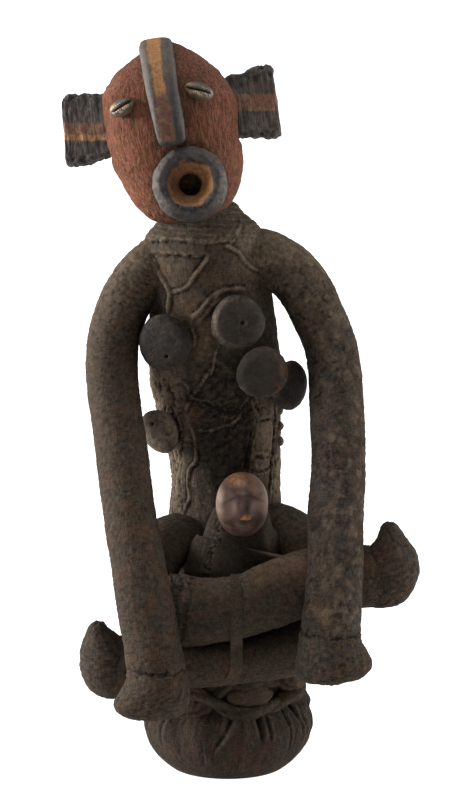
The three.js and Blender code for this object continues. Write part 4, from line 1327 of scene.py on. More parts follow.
def upper_leg_skins():
    """The upper leg: its thigh, and its shin with the crinkled raw edge at its left end."""
    thigh = stuffed(UPPER_THIGH, UP, (0.25, 0.25), 161)
    shin = stuffed(UPPER_SHIN, UP, (0.1, 0.04), 171, 0.9, 0.35, 0.3)
    x, _, z = shin.xyz()
    edge = -45 - 0.16 * (150 - z)
    ruff = smooth(edge + 7 - x, 0, 5) * smooth(-shin.normals[..., 1] + 0.6 * shin.normals[..., 2], 0, 0.5)
    shin.height += ruff * (1.5 + 1.3 * shin.rough(3.2, 176, 2, (1, 1, 0.7)))
    lip = bell(x - edge - 8, 2.2)
    shin.mark("dark", 0.7 * lip + 0.35 * ruff)
    # Paler and earthier on the faces that turn upwards: painted highlights of the light from above.
    top_lit = smooth(shin.normals[..., 2], 0.2, 0.8)
    shin.mark("pale", 0.7 * bell(x - edge - 4, 3.0) * top_lit + 0.25 * smooth(shin.normals[..., 2], 0.3, 0.9))
    shin.mark("warm", 0.4 * smooth(x, -10, 30) * top_lit)
    return [thigh.settle(), shin.settle()]


def lower_leg_skins():
    """The lower leg: its thigh and its shin."""
    thigh = stuffed(LOWER_THIGH, UP, (0.25, 0.25), 181)
    shin = stuffed(LOWER_SHIN, UP, (0.1, 0.04), 191, 0.9, 0.35, 0.3)
    return [thigh.settle(), shin.settle()]


def strap_skin():
    """The flat strap round both shins. Seen along X it is the outline of the two shins together, as
    the farther hit of each ray from the middle between them on either ellipse, smoothed; the strap's
    rounded rectangle is carried round it."""
    centre = np.array([-52.0, 128.0])
    turn = 2 * PI * np.arange(240) / 240
    ray = np.stack([np.cos(turn), np.sin(turn)], axis=-1)
    reach = np.zeros(len(turn))
    for stations in (UPPER_SHIN, LOWER_SHIN):
        rows = through(stations, np.linspace(0, 1, 400))
        _, y, z, side, high = rows[np.argmin(np.abs(rows[:, 0] - STRAP["x"]))]
        offset = (centre - (y, z)) / (side, high)
        scaled = ray / (side, high)
        a, b = (scaled**2).sum(axis=1), (scaled * offset).sum(axis=1)
        root = b**2 - a * ((offset**2).sum() - 1)
        reach = np.maximum(reach, np.where(root > 0, (-b + np.sqrt(np.maximum(root, 0))) / a, 0))
    for _ in range(300):
        reach = np.maximum(reach, (np.roll(reach, 1) + np.roll(reach, -1)) / 2)
    half, thick = STRAP["width"] / 2, STRAP["thickness"] / 2
    section = outlined([
        (-half, 0), (-half + 1, thick), (0, thick), (half - 1, thick),
        (half, 0), (half - 1, -thick), (0, -thick), (-half + 1, -thick),
    ], 0.9)
    lift = reach[None, :] + 0.2 + thick + section[:, 1, None]
    points = grid(
        STRAP["x"] + section[:, 0, None], centre[0] + lift * ray[:, 0], centre[1] + lift * ray[:, 1]
    )
    skin = Skin(points, ring=True)
    around = np.degrees(turn)[None]
    low = smooth(around, 226, 262) * smooth(345 - around, 0, 55)
    skin.height += 0.3 * skin.rough(5, 201, 2, (1, 3, 3))
    skin.mark("pale", 0.14 * smooth(138 - skin.rest[..., 2], 0, 14))
    across = skin.points[..., 0] - STRAP["x"]
    skin.points[..., 0] = STRAP["x"] + across * (1 - 0.35 * low) - 15 * low
    return skin.settle()


def swell(angle, z):
    """How much further out the looser cloth at the bundle's right stands: a bell of the angle
    between two heights."""
    off = (np.degrees(angle) + 2 + 180) % 360 - 180
    return 9.5 * bell(off, 24) * smooth(z, 46, 60) * smooth(86 - z, 0, 12)


def bundle_skin():
    """The gathered bundle: its profile turned round a leaning axis, with soft cosine gathers, short
    pleats below the tie, and the creases of its front."""
    step = spacing()
    length = np.linspace(0, 1, round(230 / step))
    profile = through(BUNDLE_PROFILE, length)
    z, share = profile[:, 0, None], profile[:, 1, None]
    columns = round(2 * PI * BUNDLE["radius"] / step)
    angle = 2 * PI * np.arange(columns)[None] / columns
    fold = 0.7 * np.cos(13 * angle) * (1 + 0.5 * np.sin(3 * angle)) + 0.8 * np.cos(5 * angle + 1)
    fold = fold * smooth(z, 4, 40)
    radius = np.maximum(0, share * BUNDLE["radius"] + np.where(share > 0, fold + swell(angle, z), 0))
    height = np.clip(z, 0, BUNDLE["height"]) * np.ones_like(angle)
    lean = BUNDLE["lean"] * np.maximum(0, z / BUNDLE["height"])
    points = np.stack([
        BUNDLE["x"] + radius * np.cos(angle), lean + radius * np.sin(angle), height,
    ], axis=-1)
    flow = grid(
        BUNDLE["radius"] * np.cos(angle), BUNDLE["radius"] * np.sin(angle), 160 * length[:, None]
    )
    skin = Skin(points, flow)
    free = smooth(height, 2, 14) * smooth(92 - height, 0, 8)
    skin.height += free * (0.8 * bumps(skin.flow, 24, 211) + 0.35 * bumps(skin.flow, 5, 212, 2, (1, 1, 4)))
    degrees = np.degrees(angle)
    for start, top, end, foot, deep, wide in BUNDLE_CREASES:
        part = np.clip((top - height) / (top - foot), 0, 1)
        middle = start + (end - start) * part
        off = ((degrees - middle + 180) % 360 - 180) * BUNDLE["radius"] * PI / 180
        run = smooth(top + 6 - height, 0, 6) * smooth(height - foot, -4, 8)
        width = wide * (1.2 - 0.5 * part)
        skin.height += run * deep * (0.4 * bell(off - 1.8 * width, width) - 0.9 * bell(off, 0.7 * width))
        # Painted shade in each crease, and a paler ridge beside it.
        skin.mark("dark", 0.55 * run * bell(off, 0.7 * width))
        skin.mark("pale", 0.2 * run * bell(off - 1.8 * width, width))
    back = smooth(np.sin(angle), -0.1, 0.4)
    pleats = bumps(skin.flow, 8, 215, 2, (1, 1, 7)) * smooth(height, 20, 54)
    skin.height += (0.8 + 1.4 * back) * pleats * free
    skin.height -= 0.25 * free * cracks(skin.flow, 6, 217, (1, 1, 2))
    # Painted shadow in a band just under the sash.
    skin.mark("dark", 0.5 * bell(height - 56, 4))
    skin.mark("warm", 0.4 * smooth(bumps(skin.flow, 20, 219), 0.1, 0.6))
    skin.mark("warm", 0.9 * bell(degrees + 109, 7) * bell(height - 66, 5))
    return skin.settle()


def sash_skin(path, over, seed):
    """One turn of the sash: a two-strand twist, its radius grown by a cosine that winds round it,
    carried round the bundle's neck at the path's height, just outside the cloth of that height. The
    turn that crosses over stands further out there."""
    radius, strand = SASH["radius"], SASH["strand"]
    section = [
        (radius + 0.72 * strand * math.cos(a), 1.3 * strand * math.sin(a))
        for a in np.linspace(0, 2 * PI, 28, endpoint=False)
    ]
    skin = ring(radius, section, 1.2)
    x, y, z = skin.xyz()
    round_it = np.arctan2(y, x)
    about = np.arctan2(z, np.hypot(x, y) - radius)
    wound = np.cos(2 * about - 11 * round_it + 2.2 * skin.rough(26, seed, 1))
    skin.height += 0.75 * wound + 0.5 * skin.rough(4, seed + 1) + 0.8 * skin.rough(20, seed + 2, 1)
    # Painted shade in the grooves between the strands.
    skin.mark("dark", 0.5 * smooth(-wound, 0.4, 0.95))
    skin.mark("pale", 0.15)
    skin.mark("warm", 0.9 * bell(np.degrees(round_it) + 117, 9))
    angle, level = np.array(path, float).T
    shares = np.linspace(-180, 180, 361)
    levels = np.interp(shares, angle, level, period=360)
    for _ in range(6):
        levels = (np.roll(levels, 1) + levels + np.roll(levels, -1)) / 3
    degrees = np.degrees(round_it)
    height = np.interp(degrees, shares, levels)
    profile = np.array(BUNDLE_PROFILE[1:-1][::-1], float)
    out = np.interp(height, profile[:, 0], profile[:, 1]) * BUNDLE["radius"] + swell(round_it, height)
    tucked = smooth(degrees, -28, -8) * smooth(150 - degrees, 0, 40)
    out = out + SASH["lift"] + over * bell(degrees + 95, 16) - 5 * tucked - radius
    skin.settle()
    away = np.stack([np.cos(round_it), np.sin(round_it), 0 * out], axis=-1)
    lean = BUNDLE["lean"] * height / BUNDLE["height"]
    middle = np.stack([np.full_like(out, BUNDLE["x"]), lean, height], axis=-1)
    skin.points = skin.points + away * out[..., None] + middle
    return skin


def knot_skins():
    """The sash's knot: an upright rounded lump, and the fold it is tied with."""
    lump = ball(KNOT["half"], 1.1, 0.9)
    lump.height += 1.5 * lump.rough(8, 221) + 0.3 * lump.rough(3, 222)
    lump.cut([(-9, -6, 2), (-3, -8.5, -2), (4, -8, -4), (9, -4, -4)], 1.1, 1.6, 0.5)
    lump.mark("pale", 0.75)
    lump.mark("warm", 0.8)
    fold = sleeve([
        (-13, -1, -15, 3.5, 3), (-9, -5, -13, 4.4, 3.4), (-2, -7, -11, 4.6, 3.6), (5, -6, -9, 4.2, 3.4),
        (10, -2, -8, 3.4, 3),
    ], FRONT, (0.2, 0.2), step=1.1)
    fold.height += 0.6 * bumps(fold.flow, 4, 225, 2, (1, 1, 4))
    fold.mark("pale", 0.2)
    fold.mark("warm", 0.2)
    place = KNOT["place"]
    return [lump.settle().placed(np.eye(3), place), fold.settle().placed(np.eye(3), place)]


def tucked_cloth_skin():
    """The smooth lens of cloth that bulges between the crossing strands in front."""
    lens = ball((21, 6.5, 9.5), 1.1)
    lens.height += 0.3 * lens.rough(5, 231, 2, (5, 1, 1)) + 0.5 * lens.rough(12, 232)
    lens.height += 0.7 * lens.rough(6, 233, 2, (1, 1, 0.5))
    lens.mark("warm", 0.3)
    lens.mark("pale", 0.3)
    return lens.settle().placed(turn_about("Z", 19), (17.5, -46.5, 72.5))


def lap_body_skin():
    """The lap figure's wrapping: a smooth cone of cloth with a crackled band at its left."""
    skin = sleeve(LAP_BODY, FRONT, step=0.93 * spacing())
    x, _, z = skin.xyz()
    skin.height += 0.7 * bumps(skin.flow, 22, 241, 2) + 0.15 * bumps(skin.flow, 3, 242, 2)
    middle = np.interp(z, [170, 181, 195, 209, 222], [-24, -21, -16, -11, -7])
    band = bell(x - middle, 5.5) * skin.front(0, 0.5)
    chipped = cracks(skin.rest, 4.5, 243)
    skin.height += band * (0.9 * skin.rough(3, 244) - 1.3 * chipped)
    skin.mark("dark", 0.7 * band * chipped + 0.1)
    fall = bell(x - np.interp(z, [175, 200, 230], [44, 33, 27]), 5)
    skin.height += 1.6 * fall * skin.front(-0.4, 0.3)
    skin.mark("pale", 0.35 * band + 0.25 * fall)
    return skin.settle()


def lap_head_skin():
    """The small wooden head: an egg with two shallow eye hollows under a low brow, a ridge that ends
    in a short nose, a mouth groove and a chin, each a bell on the face's height."""
    half = LAP_HEAD["half"]
    skin = ball(half, 0.75 * spacing(), 0.94)
    x, y, z = skin.xyz()
    face = smooth(-y, 2, 16)
    middle = 3.0

    def spot(*shape):
        return soft_spot(x, z, *shape)

    hollows = spot(middle - 12.5, 3.5, 5.5, 9.0) + spot(middle + 9.5, 4.5, 5.0, 8.5)
    nose = spot(middle, -1.5, 3.6, 6.5)
    tip = spot(middle + 0.3, -5.2, 4.6, 1.9)
    brow = spot(middle, 12.5, 17, 2.4)
    mouth = spot(middle - 1.5, -10.5, 4.6, 1.6)
    lip = spot(middle - 1.5, -13.8, 4.5, 1.7)
    skin.height += face * (2.6 * tip + 2.2 * nose + brow + lip - 3.4 * hollows - 2.0 * mouth)
    skin.height += 0.12 * skin.rough(7, 251)
    edges = smooth(np.abs(x), 13, 20) * smooth(z, -14, 2) * smooth(20 - z, 0, 8)
    # Pale pinkish at the sides of the face, stronger at the left: a painted rim highlight of the side
    # lights, partly wear.
    skin.mark("worn", edges * smooth(-y, -14, 4) * (0.45 + 0.5 * smooth(-x, 0, 5)))
    skin.mark("worn", 0.35 * smooth(z, 10, 16) * smooth(x, 4, 12))
    # The eye hollows get the pale mask, which the wood turns violet: a painted sheen.
    skin.mark("pale", face * np.clip(1.1 * hollows, 0, 1))
    wedge = smooth(5.4 - np.abs(x - middle) - 0.75 * (z + 6.5), 0, 3.4) * smooth(z + 8.4, 0, 1.6)
    skin.mark("ochre", face * wedge * smooth(-z, 0, 4))
    skin.mark("ochre", 0.6 * spot(-5, 24, 8, 3.5) * smooth(-y, -14, 4))
    skin.mark("dark", face * (0.8 * mouth + 0.6 * spot(middle, -8.6, 5, 0.9) + 0.35 * spot(14, -10, 6, 8)))
    # Dark arcs over the eye hollows and the dark middle of the face: painted shade.
    brow_shade = spot(middle - 12, 12.5 - 0.03 * x**2, 7, 1.3) + spot(middle + 10, 13 - 0.02 * x**2, 6, 1.3)
    shadows = 0.4 * spot(middle + 1, 10, 8, 12) + 0.3 * spot(middle, 3, 3, 7)
    skin.mark("dark", face * (0.6 * brow_shade + shadows))
    # Small pinkish spots on the cheeks: painted highlights.
    skin.mark("worn", face * (0.55 * spot(middle - 11, 3, 2.6, 5) + 0.4 * spot(middle + 9, 4, 2.4, 4)))
    # Painted shade under the chin, and dark stains in patches.
    skin.mark("dark", 0.4 * smooth(-14 - z, 0, 8) + 0.3 * smooth(skin.rough(9, 253), 0.1, 0.5))
    skin.settle()
    skin.flow = skin.rest
    return skin.placed(turn_about("X", LAP_HEAD["nod"]), LAP_HEAD["place"])


def spur_skin():
    """The thin sliver: a flattened cone."""
    radius, length = LAP_SPUR["radius"], LAP_SPUR["length"]
    skin = sleeve([
        (0, 0, -length / 2, radius, radius * LAP_SPUR["flat"]),
        (0, 0, -length / 4, radius * 0.82, radius * 1.3), (0, 0, 0, radius * 0.6, radius),
        (0, 0, length / 4, radius * 0.36, radius * 0.6), (0, 0, length / 2, 0.3, 0.3),
    ], FRONT, (0.06, 0.06), step=0.8)
    skin.height += 0.15 * skin.rough(3, 261, 2, (1, 1, 4))
    skin.mark("dark", 0.55)
    return skin.settle().placed(turn_about("Y", LAP_SPUR["turn"]), LAP_SPUR["place"])


def head_skin():
    """The head: an egg whose sections are ellipses with slightly square corners, its profile followed
    from crown to chin; combed felt, grooves round the ears, and the pit behind the mouth."""
    step = spacing()
    length = np.linspace(0, 1, round(235 / step))
    profile = through(HEAD_PROFILE, 0.65 * length + 0.175 * (1 - np.cos(PI * length)))
    z, half, shift = (profile[:, k, None] for k in range(3))
    widest = HEAD["width"] / 2
    share = np.maximum(half / widest, 0)
    columns = round(2 * PI * 52 / step)
    angle = 2 * PI * np.arange(columns)[None] / columns

    def corner(value):
        return np.sign(value) * np.abs(value) ** 0.88

    depth = np.where(np.sin(angle) > 0, HEAD["back"], HEAD["front"])
    x = share * widest * corner(np.cos(angle)) + shift
    y = depth * share**0.72 * corner(np.sin(angle))
    skin = Skin(grid(x, y, z))
    x, y, z = skin.xyz()
    skin.height += 0.8 * skin.rough(24, 301) + 0.4 * skin.rough(8, 302)
    skin.height += 0.42 * skin.rough(2.4, 303, 2, (1, 1, 5))
    side = smooth(np.abs(x), 40, 48)
    beyond = np.maximum(np.abs(y - EARS["y"]) - EARS["half_thickness"], 0)
    beyond = np.hypot(beyond, np.maximum(np.abs(z - EARS["middle"]) - EARS["half_height"] + 3, 0))
    skin.height -= 2.0 * side * bell(beyond, 3.5)
    # Painted shade in the groove round each ear.
    skin.mark("dark", 0.85 * side * bell(beyond, 7.0) * (0.7 + 0.6 * skin.rough(5, 304)))
    skin.height += 0.8 * side * bell(beyond - 6, 4) * skin.rough(5, 306)
    front = smooth(-y, 5, 20)
    skin.mark("warm", 0.6 * smooth(-x + 10 * skin.rough(20, 307), 5, 45) * smooth(10 - z, 0, 30))
    skin.mark("worn", smooth(z + 0.3 * x + 14 * skin.rough(18, 308), 20, 55))
    # stains are soiling of the felt; the dark along the sides of the nose bar, round the mouth ring and
    # under the chin is painted shade.
    stains = 0.5 * soft_spot(x, z, 17, 18, 8, 26) + 0.6 * soft_spot(x, z, 6, -19, 16, 4)
    nose_side_shade = bell(np.maximum(np.abs(x + 2.6) - 13.5, 0), 2.2) * smooth(z, -20, -14)
    from_mouth = np.hypot(x - MOUTH["x"], z - MOUTH["z"])
    rim = bell(np.maximum(from_mouth - MOUTH["radius"], 0), 3.0)
    chin = smooth(-64 - z, 0, 14)
    skin.mark("dark", front * (stains + 0.5 * nose_side_shade + 0.5 * rim) + 0.3 * chin)
    skin.height += 0.7 * chin * skin.rough(5, 305)
    pit = smooth(16.0 - from_mouth, 0, 4) * front
    skin.points[..., 1] += 15 * pit
    # The bottom of the pit is painted dark: the shade inside the mouth's hole.
    skin.mark("dark", 0.6 * pit)
    return on_head(skin)


def nose_skin():
    """The nose bar: rounded rectangles along its stations, with an ochre stripe down its front."""
    skin = sleeve(NOSE, FRONT, (0.05, 0.05), 0.5, 0.85 * spacing())
    x, _, z = skin.xyz()
    skin.height += 0.6 * skin.rough(14, 311) + 0.2 * skin.rough(3, 312)
    wobble = 0.9 * skin.rough(8, 313)
    half = np.interp(z, [-16, 5, 25, 45, 66], [6.4, 6.2, 5.0, 4.6, 5.8])
    off = x - np.interp(z, [-16, 5, 25, 66], [-4.5, -4.2, -4.6, -5.2]) + wobble
    facing = smooth(0.6 * skin.normals[..., 2] - skin.normals[..., 1], 0.2, 0.6)
    stripe = facing * smooth(half - np.abs(off), -0.7, 0.7)
    faded = smooth(29 - z, 0, 12)
    stain = smooth(skin.rough(8, 314), -0.25, 0.3)
    skin.mark("ochre", stripe * (1 - faded * (0.35 + 0.5 * stain)))
    skin.mark("warm", 0.75 * stripe * faded * stain)
    skin.mark("dark", 0.35 * stripe * faded + 0.6 * smooth(-15 - z, 0, 4))
    skin.mark("dark", 0.75 * facing * bell(off + half, 1.1) * smooth(60 - z, 0, 15))
    # Darker right of the stripe low down: painted shade.
    skin.mark("dark", 0.5 * facing * smooth(off - half, 0, 3) * smooth(40 - z, 0, 30))
    skin.mark("pale", 0.3 * facing * smooth(off - half, 0, 2) * smooth(z, 30, 50))
    # Paler left of the stripe: a painted highlight where the left light falls.
    skin.mark("pale", 0.35 * smooth(-off - half, 0, 3))
    return on_head(skin)


def mouth_skin():
    """The mouth: a closed section, high at the rim and falling as a funnel to the hole, carried
    round the mouth's axis, a little out of true."""
    radius, pit = MOUTH["radius"], MOUTH["pit"]
    section = outlined([
        (pit, -14), (radius * 0.5, -16), (radius - 1, -15), (radius, -8), (radius + 0.4, 2),
        (radius, 9), (radius - 2, 14.5), (radius - 6, 18), (radius - 10, 17), (radius - 13, 12.5),
        (radius - 17, 6), (radius - 21, 1), (pit, -3), (pit, -8),
    ], 0.8 * spacing())
    skin = ring(radius, section, 0.85 * spacing())
    x, z, out = skin.xyz()
    radial = np.hypot(x, z)
    face = smooth(out, -12, 0)
    skin.height += face * (1.2 * skin.rough(14, 321) + 0.4 * skin.rough(4, 322))
    skin.mark("dark", 0.3 * smooth(skin.rough(5, 327), -0.2, 0.4) + 0.2 * smooth(z, 8, 22))
    wobble = 2.2 * skin.rough(10, 323)
    around = np.degrees(np.arctan2(z, x))
    off = np.hypot(x - 0.8, z + 2.2)
    inside = smooth(19.2 - off - wobble, -0.8, 0.8) * smooth(out, -6, -1)
    # lit is the side of the funnel that faces the light: its ochre is painted lighter there and rust-darker
    # on the far side, as painted light and shade.
    lit = bell((around + 45 + 180) % 360 - 180, 110)
    skin.mark("ochre", inside * (0.75 + 0.25 * lit))
    skin.mark("warm", inside * 0.55 * (1 - lit))
    edge = smooth(np.abs(x), 0.55 * radius, 0.85 * radius) * smooth(radial, radius - 9, radius - 4)
    streak = bumps(np.stack([0.5 * around, 0.12 * radial, 0 * radial], axis=-1), 1.6, 326, 2)
    skin.mark("pale", 0.45 * edge * smooth(streak, -0.1, 0.4))
    # Painted shade down the walls of the hole, and darker at the back.
    skin.mark("dark", smooth(pit + 3.4 - radial, 0, 3.4) * 0.6 + 0.2 * smooth(-out, 4, 9))
    skin.mark("dark", 0.5 * bell(off - 20.5 - wobble, 1.8) * smooth(out, 2, 8))
    skin.mark("dark", 0.4 * smooth(-z, 12, 26) + 0.25 * smooth(skin.rough(9, 325), 0, 0.5))
    skin.mark("dark", -0.5 * inside)
    skin.settle()
    turn, place = turn_about("X", 90), (MOUTH["x"], MOUTH["y"], MOUTH["z"])
    skin.flow = skin.rest @ turn.T + place
    return skin.placed(turn, place).placed(HEAD_TURN, HEAD["centre"])


def ear_skin(side):
    """An ear: a block of upright fibres with ragged ends, painted in level bands."""
    middle, high, thick = EARS["middle"], EARS["half_height"], EARS["half_thickness"]
    inner, outer = EARS["inner"] - 3, EARS["outer"] + (1.5 if side < 0 else -0.5)
    skin = sleeve([
        (side * x, EARS["y"], middle, high - less, thick)
        for x, less in ((inner, 5), (58, 3.5), (72, 1.5), (83, -0.5), (89, 0.5), (outer, 3.5))
    ], FRONT, (0.05, 0.05), 0.3, 0.8 * spacing())
    x, _, z = skin.xyz()
    skin.points[..., 0] += 0.055 * (z - middle) * smooth(-x, 60, 90)
    ends = smooth(np.abs(z - middle), high - 8, high - 4)
    tufts = 2.2 * skin.rough(8, 331 + side) + 1.4 * skin.rough(3.5, 333)
    block = smooth(x, 66, 69) * smooth(z - middle, 10, 22)
    skin.height += ends * (tufts + 2.0 * block - 0.9 * (side > 0) * (z > middle))
    ridges = skin.rough(3.0, 335 + side, 2, (1, 1, 8))
    skin.height += (1 - ends) * (ridges + 0.6 * skin.rough(4, 336, 2, (1, 1, 2)))
    skin.height += 0.9 * skin.rough(12, 337)
    level = in_world(skin.rest)[..., 2] + 0.9 * skin.rough(6, 339)
    top, change, foot = (560, 551, 545.5) if side < 0 else (585, 573.5, 570.5)
    rust = smooth(level, change - 0.8, change + 0.8) * smooth(top - level, -0.8, 0.8)
    ochre = smooth(level, foot - 0.7, foot + 0.7) * smooth(change - level, -0.7, 0.7)
    skin.mark("warm", 0.9 * rust)
    skin.mark("ochre", ochre * (0.95 if side < 0 else 0.4))
    above = bell(level - change - (10 if side < 0 else 16), 4) * smooth(np.abs(x), 60, 70)
    skin.mark("pale", 0.3 * above + 0.5 * rust + 0.3 * ochre)
    skin.mark("dark", 0.3 * ends + 0.2 * smooth(level, top + 6, top + 16))
    # Painted shade at the root, where the ear meets the head.
    skin.mark("dark", 0.6 * smooth(inner + 12 - np.abs(x), 0, 8))
    return on_head(skin)


def cowrie_skin(shape, seed):
    """A cowrie: an ellipsoid whose face sinks to a slit along its middle, with short ridges, the
    teeth, across both lips."""
    half = (shape["length"] / 2, shape["width"] / 2, COWRIE_HALF_DEPTH)
    skin = ball(half, 0.45)
    x, up_face, out = skin.xyz()
    ends = smooth(1 - np.abs(x) / half[0], 0.04, 0.3)
    face = smooth(out, 1, 5)
    off = up_face - 0.8 * np.sin(x / half[0] * 2.2)
    slit = bell(off, 0.95) * ends * face
    teeth = np.cos(2 * PI * x / 1.9) * bell(np.abs(off) - 2.0, 1.5) * ends * face
    skin.height += 0.32 * teeth - 3.0 * slit + 0.3 * bell(np.abs(off) - 2.6, 1.4) * ends * face
    # Painted shade in the slit and between the teeth.
    skin.mark("dark", bell(off, 1.15) * ends * face + 0.25 * smooth(-teeth, 0.1, 0.9))
    skin.mark("dark", 0.35 * smooth(3 - out, 0, 4))
    lip = bell(off + 2.6, 1.7) * smooth(skin.rough(3, 345 + seed), -0.35, 0.3)
    skin.mark("worn", 0.85 * lip * face * bell(x, 0.6 * half[0]))
    # A cream painted highlight at the upper left of the face.
    skin.mark("worn", 0.55 * soft_spot(x, up_face, -0.75 * half[0], 2.4, 3.5, 2.2) * face)
    skin.mark("dark", 0.3 * smooth(off, 1, 4))
    skin.settle()
    skin.flow = skin.rest
    skin.placed(turn_about("X", 90), (0, 0, 0))
    skin.placed(turn_about("Y", -shape["slope"]), shape["place"])
    return skin.placed(HEAD_TURN, HEAD["centre"])


def facing_turn(facing):
    """The matrix that brings +Z to a facing and keeps its own Y axis as upright as it can be."""
    out = unit(np.array(facing, float))
    right = unit(np.cross(UP, out))
    return np.stack([right, np.cross(out, right), out], axis=-1)


def seed_skin(shape, seed):
    """A seed: a thick disc with a rounded edge, slightly out of round, domed and pierced once."""
    radius = shape["radius"]
    skin = ball((radius, radius, SEED_THICKNESS / 2), 0.85 * spacing())
    x, y, z = skin.xyz()
    radial = np.hypot(x, y)
    fuller = 1 + 0.16 * smooth(radial / radius, 0.35, 0.75) * smooth(1 - radial / radius, 0, 0.2)
    skin.points[..., 2] *= fuller
    around = np.arctan2(y, x)
    edge = smooth(radial / radius, 0.75, 1)
    skin.height += edge * (0.5 * np.cos(3 * around + seed) + 0.4 * skin.rough(14, 350 + seed)) - 0.5 * edge
    skin.height += 0.3 * skin.rough(14, 360 + seed) + 0.12 * skin.rough(3, 370 + seed)
    hole = np.hypot(x - shape["hole"][0], y - shape["hole"][1])
    skin.height -= 3.2 * smooth(z, 0, 2) * bell(hole, 1.5)
    skin.mark("dark", bell(hole, 1.7) * smooth(z, 0, 2))
    dusty = smooth(skin.rough(12, 380 + seed), -0.2, 0.5)
    skin.mark("pale", shape.get("dust", 0.08) * (0.35 + 0.65 * dusty) + 0.35 * edge * dusty)
    skin.mark("dark", 0.3 * smooth(-skin.rough(9, 390 + seed), 0, 0.6))
    skin.height += 0.25 * skin.rough(2.2, 395 + seed)
    if "red" in shape:
        skin.mark("warm", 0.8 * smooth(x, 6, 14) * smooth(skin.rough(8, 385), -0.3, 0.3))
    if "crescent" in shape:
        rim = bell(radial - 0.86 * radius, 1.6) * bell(np.abs(around) - PI, 0.9)
        skin.mark("pale", 0.7 * rim * smooth(z, 0, 2))
    # Darker on its back half, and by its own amount of painted shade all over.
    skin.mark("dark", 0.3 * smooth(-z, 0, 3) + shape.get("painted_shade", 0))
    skin.settle()
    skin.flow = skin.rest + 100.0 * seed
    return skin.placed(facing_turn(shape["facing"]), shape["place"])


def bead_skins():
    """Three small beads on the trunk's right edge."""
    made = []
    for x, z in ((42.5, 310), (43, 296), (43, 283)):
        bead = ball((4.2, 4.2, 4.4), 0.8)
        bead.height += 0.6 * bead.rough(4, z)
        bead.mark("pale", 0.6)
        made.append(bead.settle().placed(np.eye(3), (x, 22, z)))
    return made


# Operators


class EFFIGY_OT_trunk(bpy.types.Operator):
    """Builds the corded, crusted trunk and its side beads"""

    bl_options = {"REGISTER", "UNDO"}
    bl_idname = "effigy.trunk"
    bl_label = "Trunk"

    def execute(self, context):
        """The trunk stands for its solid; the beads are small trim."""
        crusted = cloth_material("Crusted cloth", 1.0, 1.1, 0.3, 0.3, 0.5, 0.08, 11.0)
        build("trunk", [trunk_skin()], crusted, ["torso"])
        build("side_beads", bead_skins(), crusted)
        return {"FINISHED"}


class EFFIGY_OT_arms(bpy.types.Operator):
    """Builds the two long arms and the mitt hands"""

    bl_options = {"REGISTER", "UNDO"}
    bl_idname = "effigy.arms"
    bl_label = "Arms and hands"

    def execute(self, context):
        """Each arm and hand stands for its own solid."""
        left = cloth_material("Cloth of the left arm", 0.85, 1.0, 0.5, 0.4, 0.3, 0.05, 23.0)
        right = cloth_material("Cloth of the right arm", 0.86, 1.0, 0.35, 0.95, 0.3, 0.05, 37.0)
        build("left_arm", [arm_left_skin()], left, ["arm_left"])
        build("right_arm", [arm_right_skin()], right, ["arm_right"])
        build("left_hand", [hand_skin(HAND_LEFT, 151)], left, ["hand_left"])
        build("right_hand", [hand_skin(HAND_RIGHT, 156)], right, ["hand_right"])
        return {"FINISHED"}


class EFFIGY_OT_legs(bpy.types.Operator):
    """Builds the crossed legs, the upturned feet and the strap round the shins"""

    bl_options = {"REGISTER", "UNDO"}
    bl_idname = "effigy.legs"
    bl_label = "Legs, feet and strap"

    def execute(self, context):
        """Each leg and foot stands for its own solid, and so does the strap."""
        cloth = cloth_material("Cloth of the legs", 0.92, 1.0, 0.35, 0.35, 0.3, 0.04, 51.0)
        build("upper_leg", upper_leg_skins(), cloth, ["leg_upper"])
        build("lower_leg", lower_leg_skins(), cloth, ["leg_lower"])
        build("left_foot", [foot_skin(FOOT_LEFT, 195)], cloth, ["foot_left"])
        build("right_foot", [foot_skin(FOOT_RIGHT, 198)], cloth, ["foot_right"])
        build("shin_strap", [strap_skin()], cloth, ["leg_strap"])
        return {"FINISHED"}


class EFFIGY_OT_base(bpy.types.Operator):
    """Builds the gathered bundle, its crossed sash and the knot"""

    bl_options = {"REGISTER", "UNDO"}
    bl_idname = "effigy.base"
    bl_label = "Bundle and sash"

    def execute(self, context):
        """The bundle and the sash stand for their solids."""
        cloth = cloth_material("Cloth of the bundle", 0.5, 1.0, 0.8, 0.15, 0.4, 0.03, 67.0)
        build("bundle", [bundle_skin()], cloth, ["base_bundle"])
        turns = [sash_skin(SASH_OVER, SASH["over"], 223), sash_skin(SASH_UNDER, 0, 227)]
        build("sash", [*turns, *knot_skins(), tucked_cloth_skin()], cloth, ["base_sash"])
        return {"FINISHED"}


class EFFIGY_OT_lap_figure(bpy.types.Operator):
    """Builds the small wrapped figure in the lap"""

    bl_options = {"REGISTER", "UNDO"}
    bl_idname = "effigy.lap_figure"
    bl_label = "Lap figure"

    def execute(self, context):
        """Body, head and sliver stand for their solids."""
        cloth = cloth_material("Cloth of the lap figure", 0.62, 0.9, 0.3, 0.5, 0.4, 0.05, 83.0)
        wood = wood_material()
        build("small_body", [lap_body_skin()], cloth, ["lap_body"])
        build("small_head", [lap_head_skin()], wood, ["lap_head"])
        build("sliver", [spur_skin()], wood, ["lap_spur"])
        return {"FINISHED"}


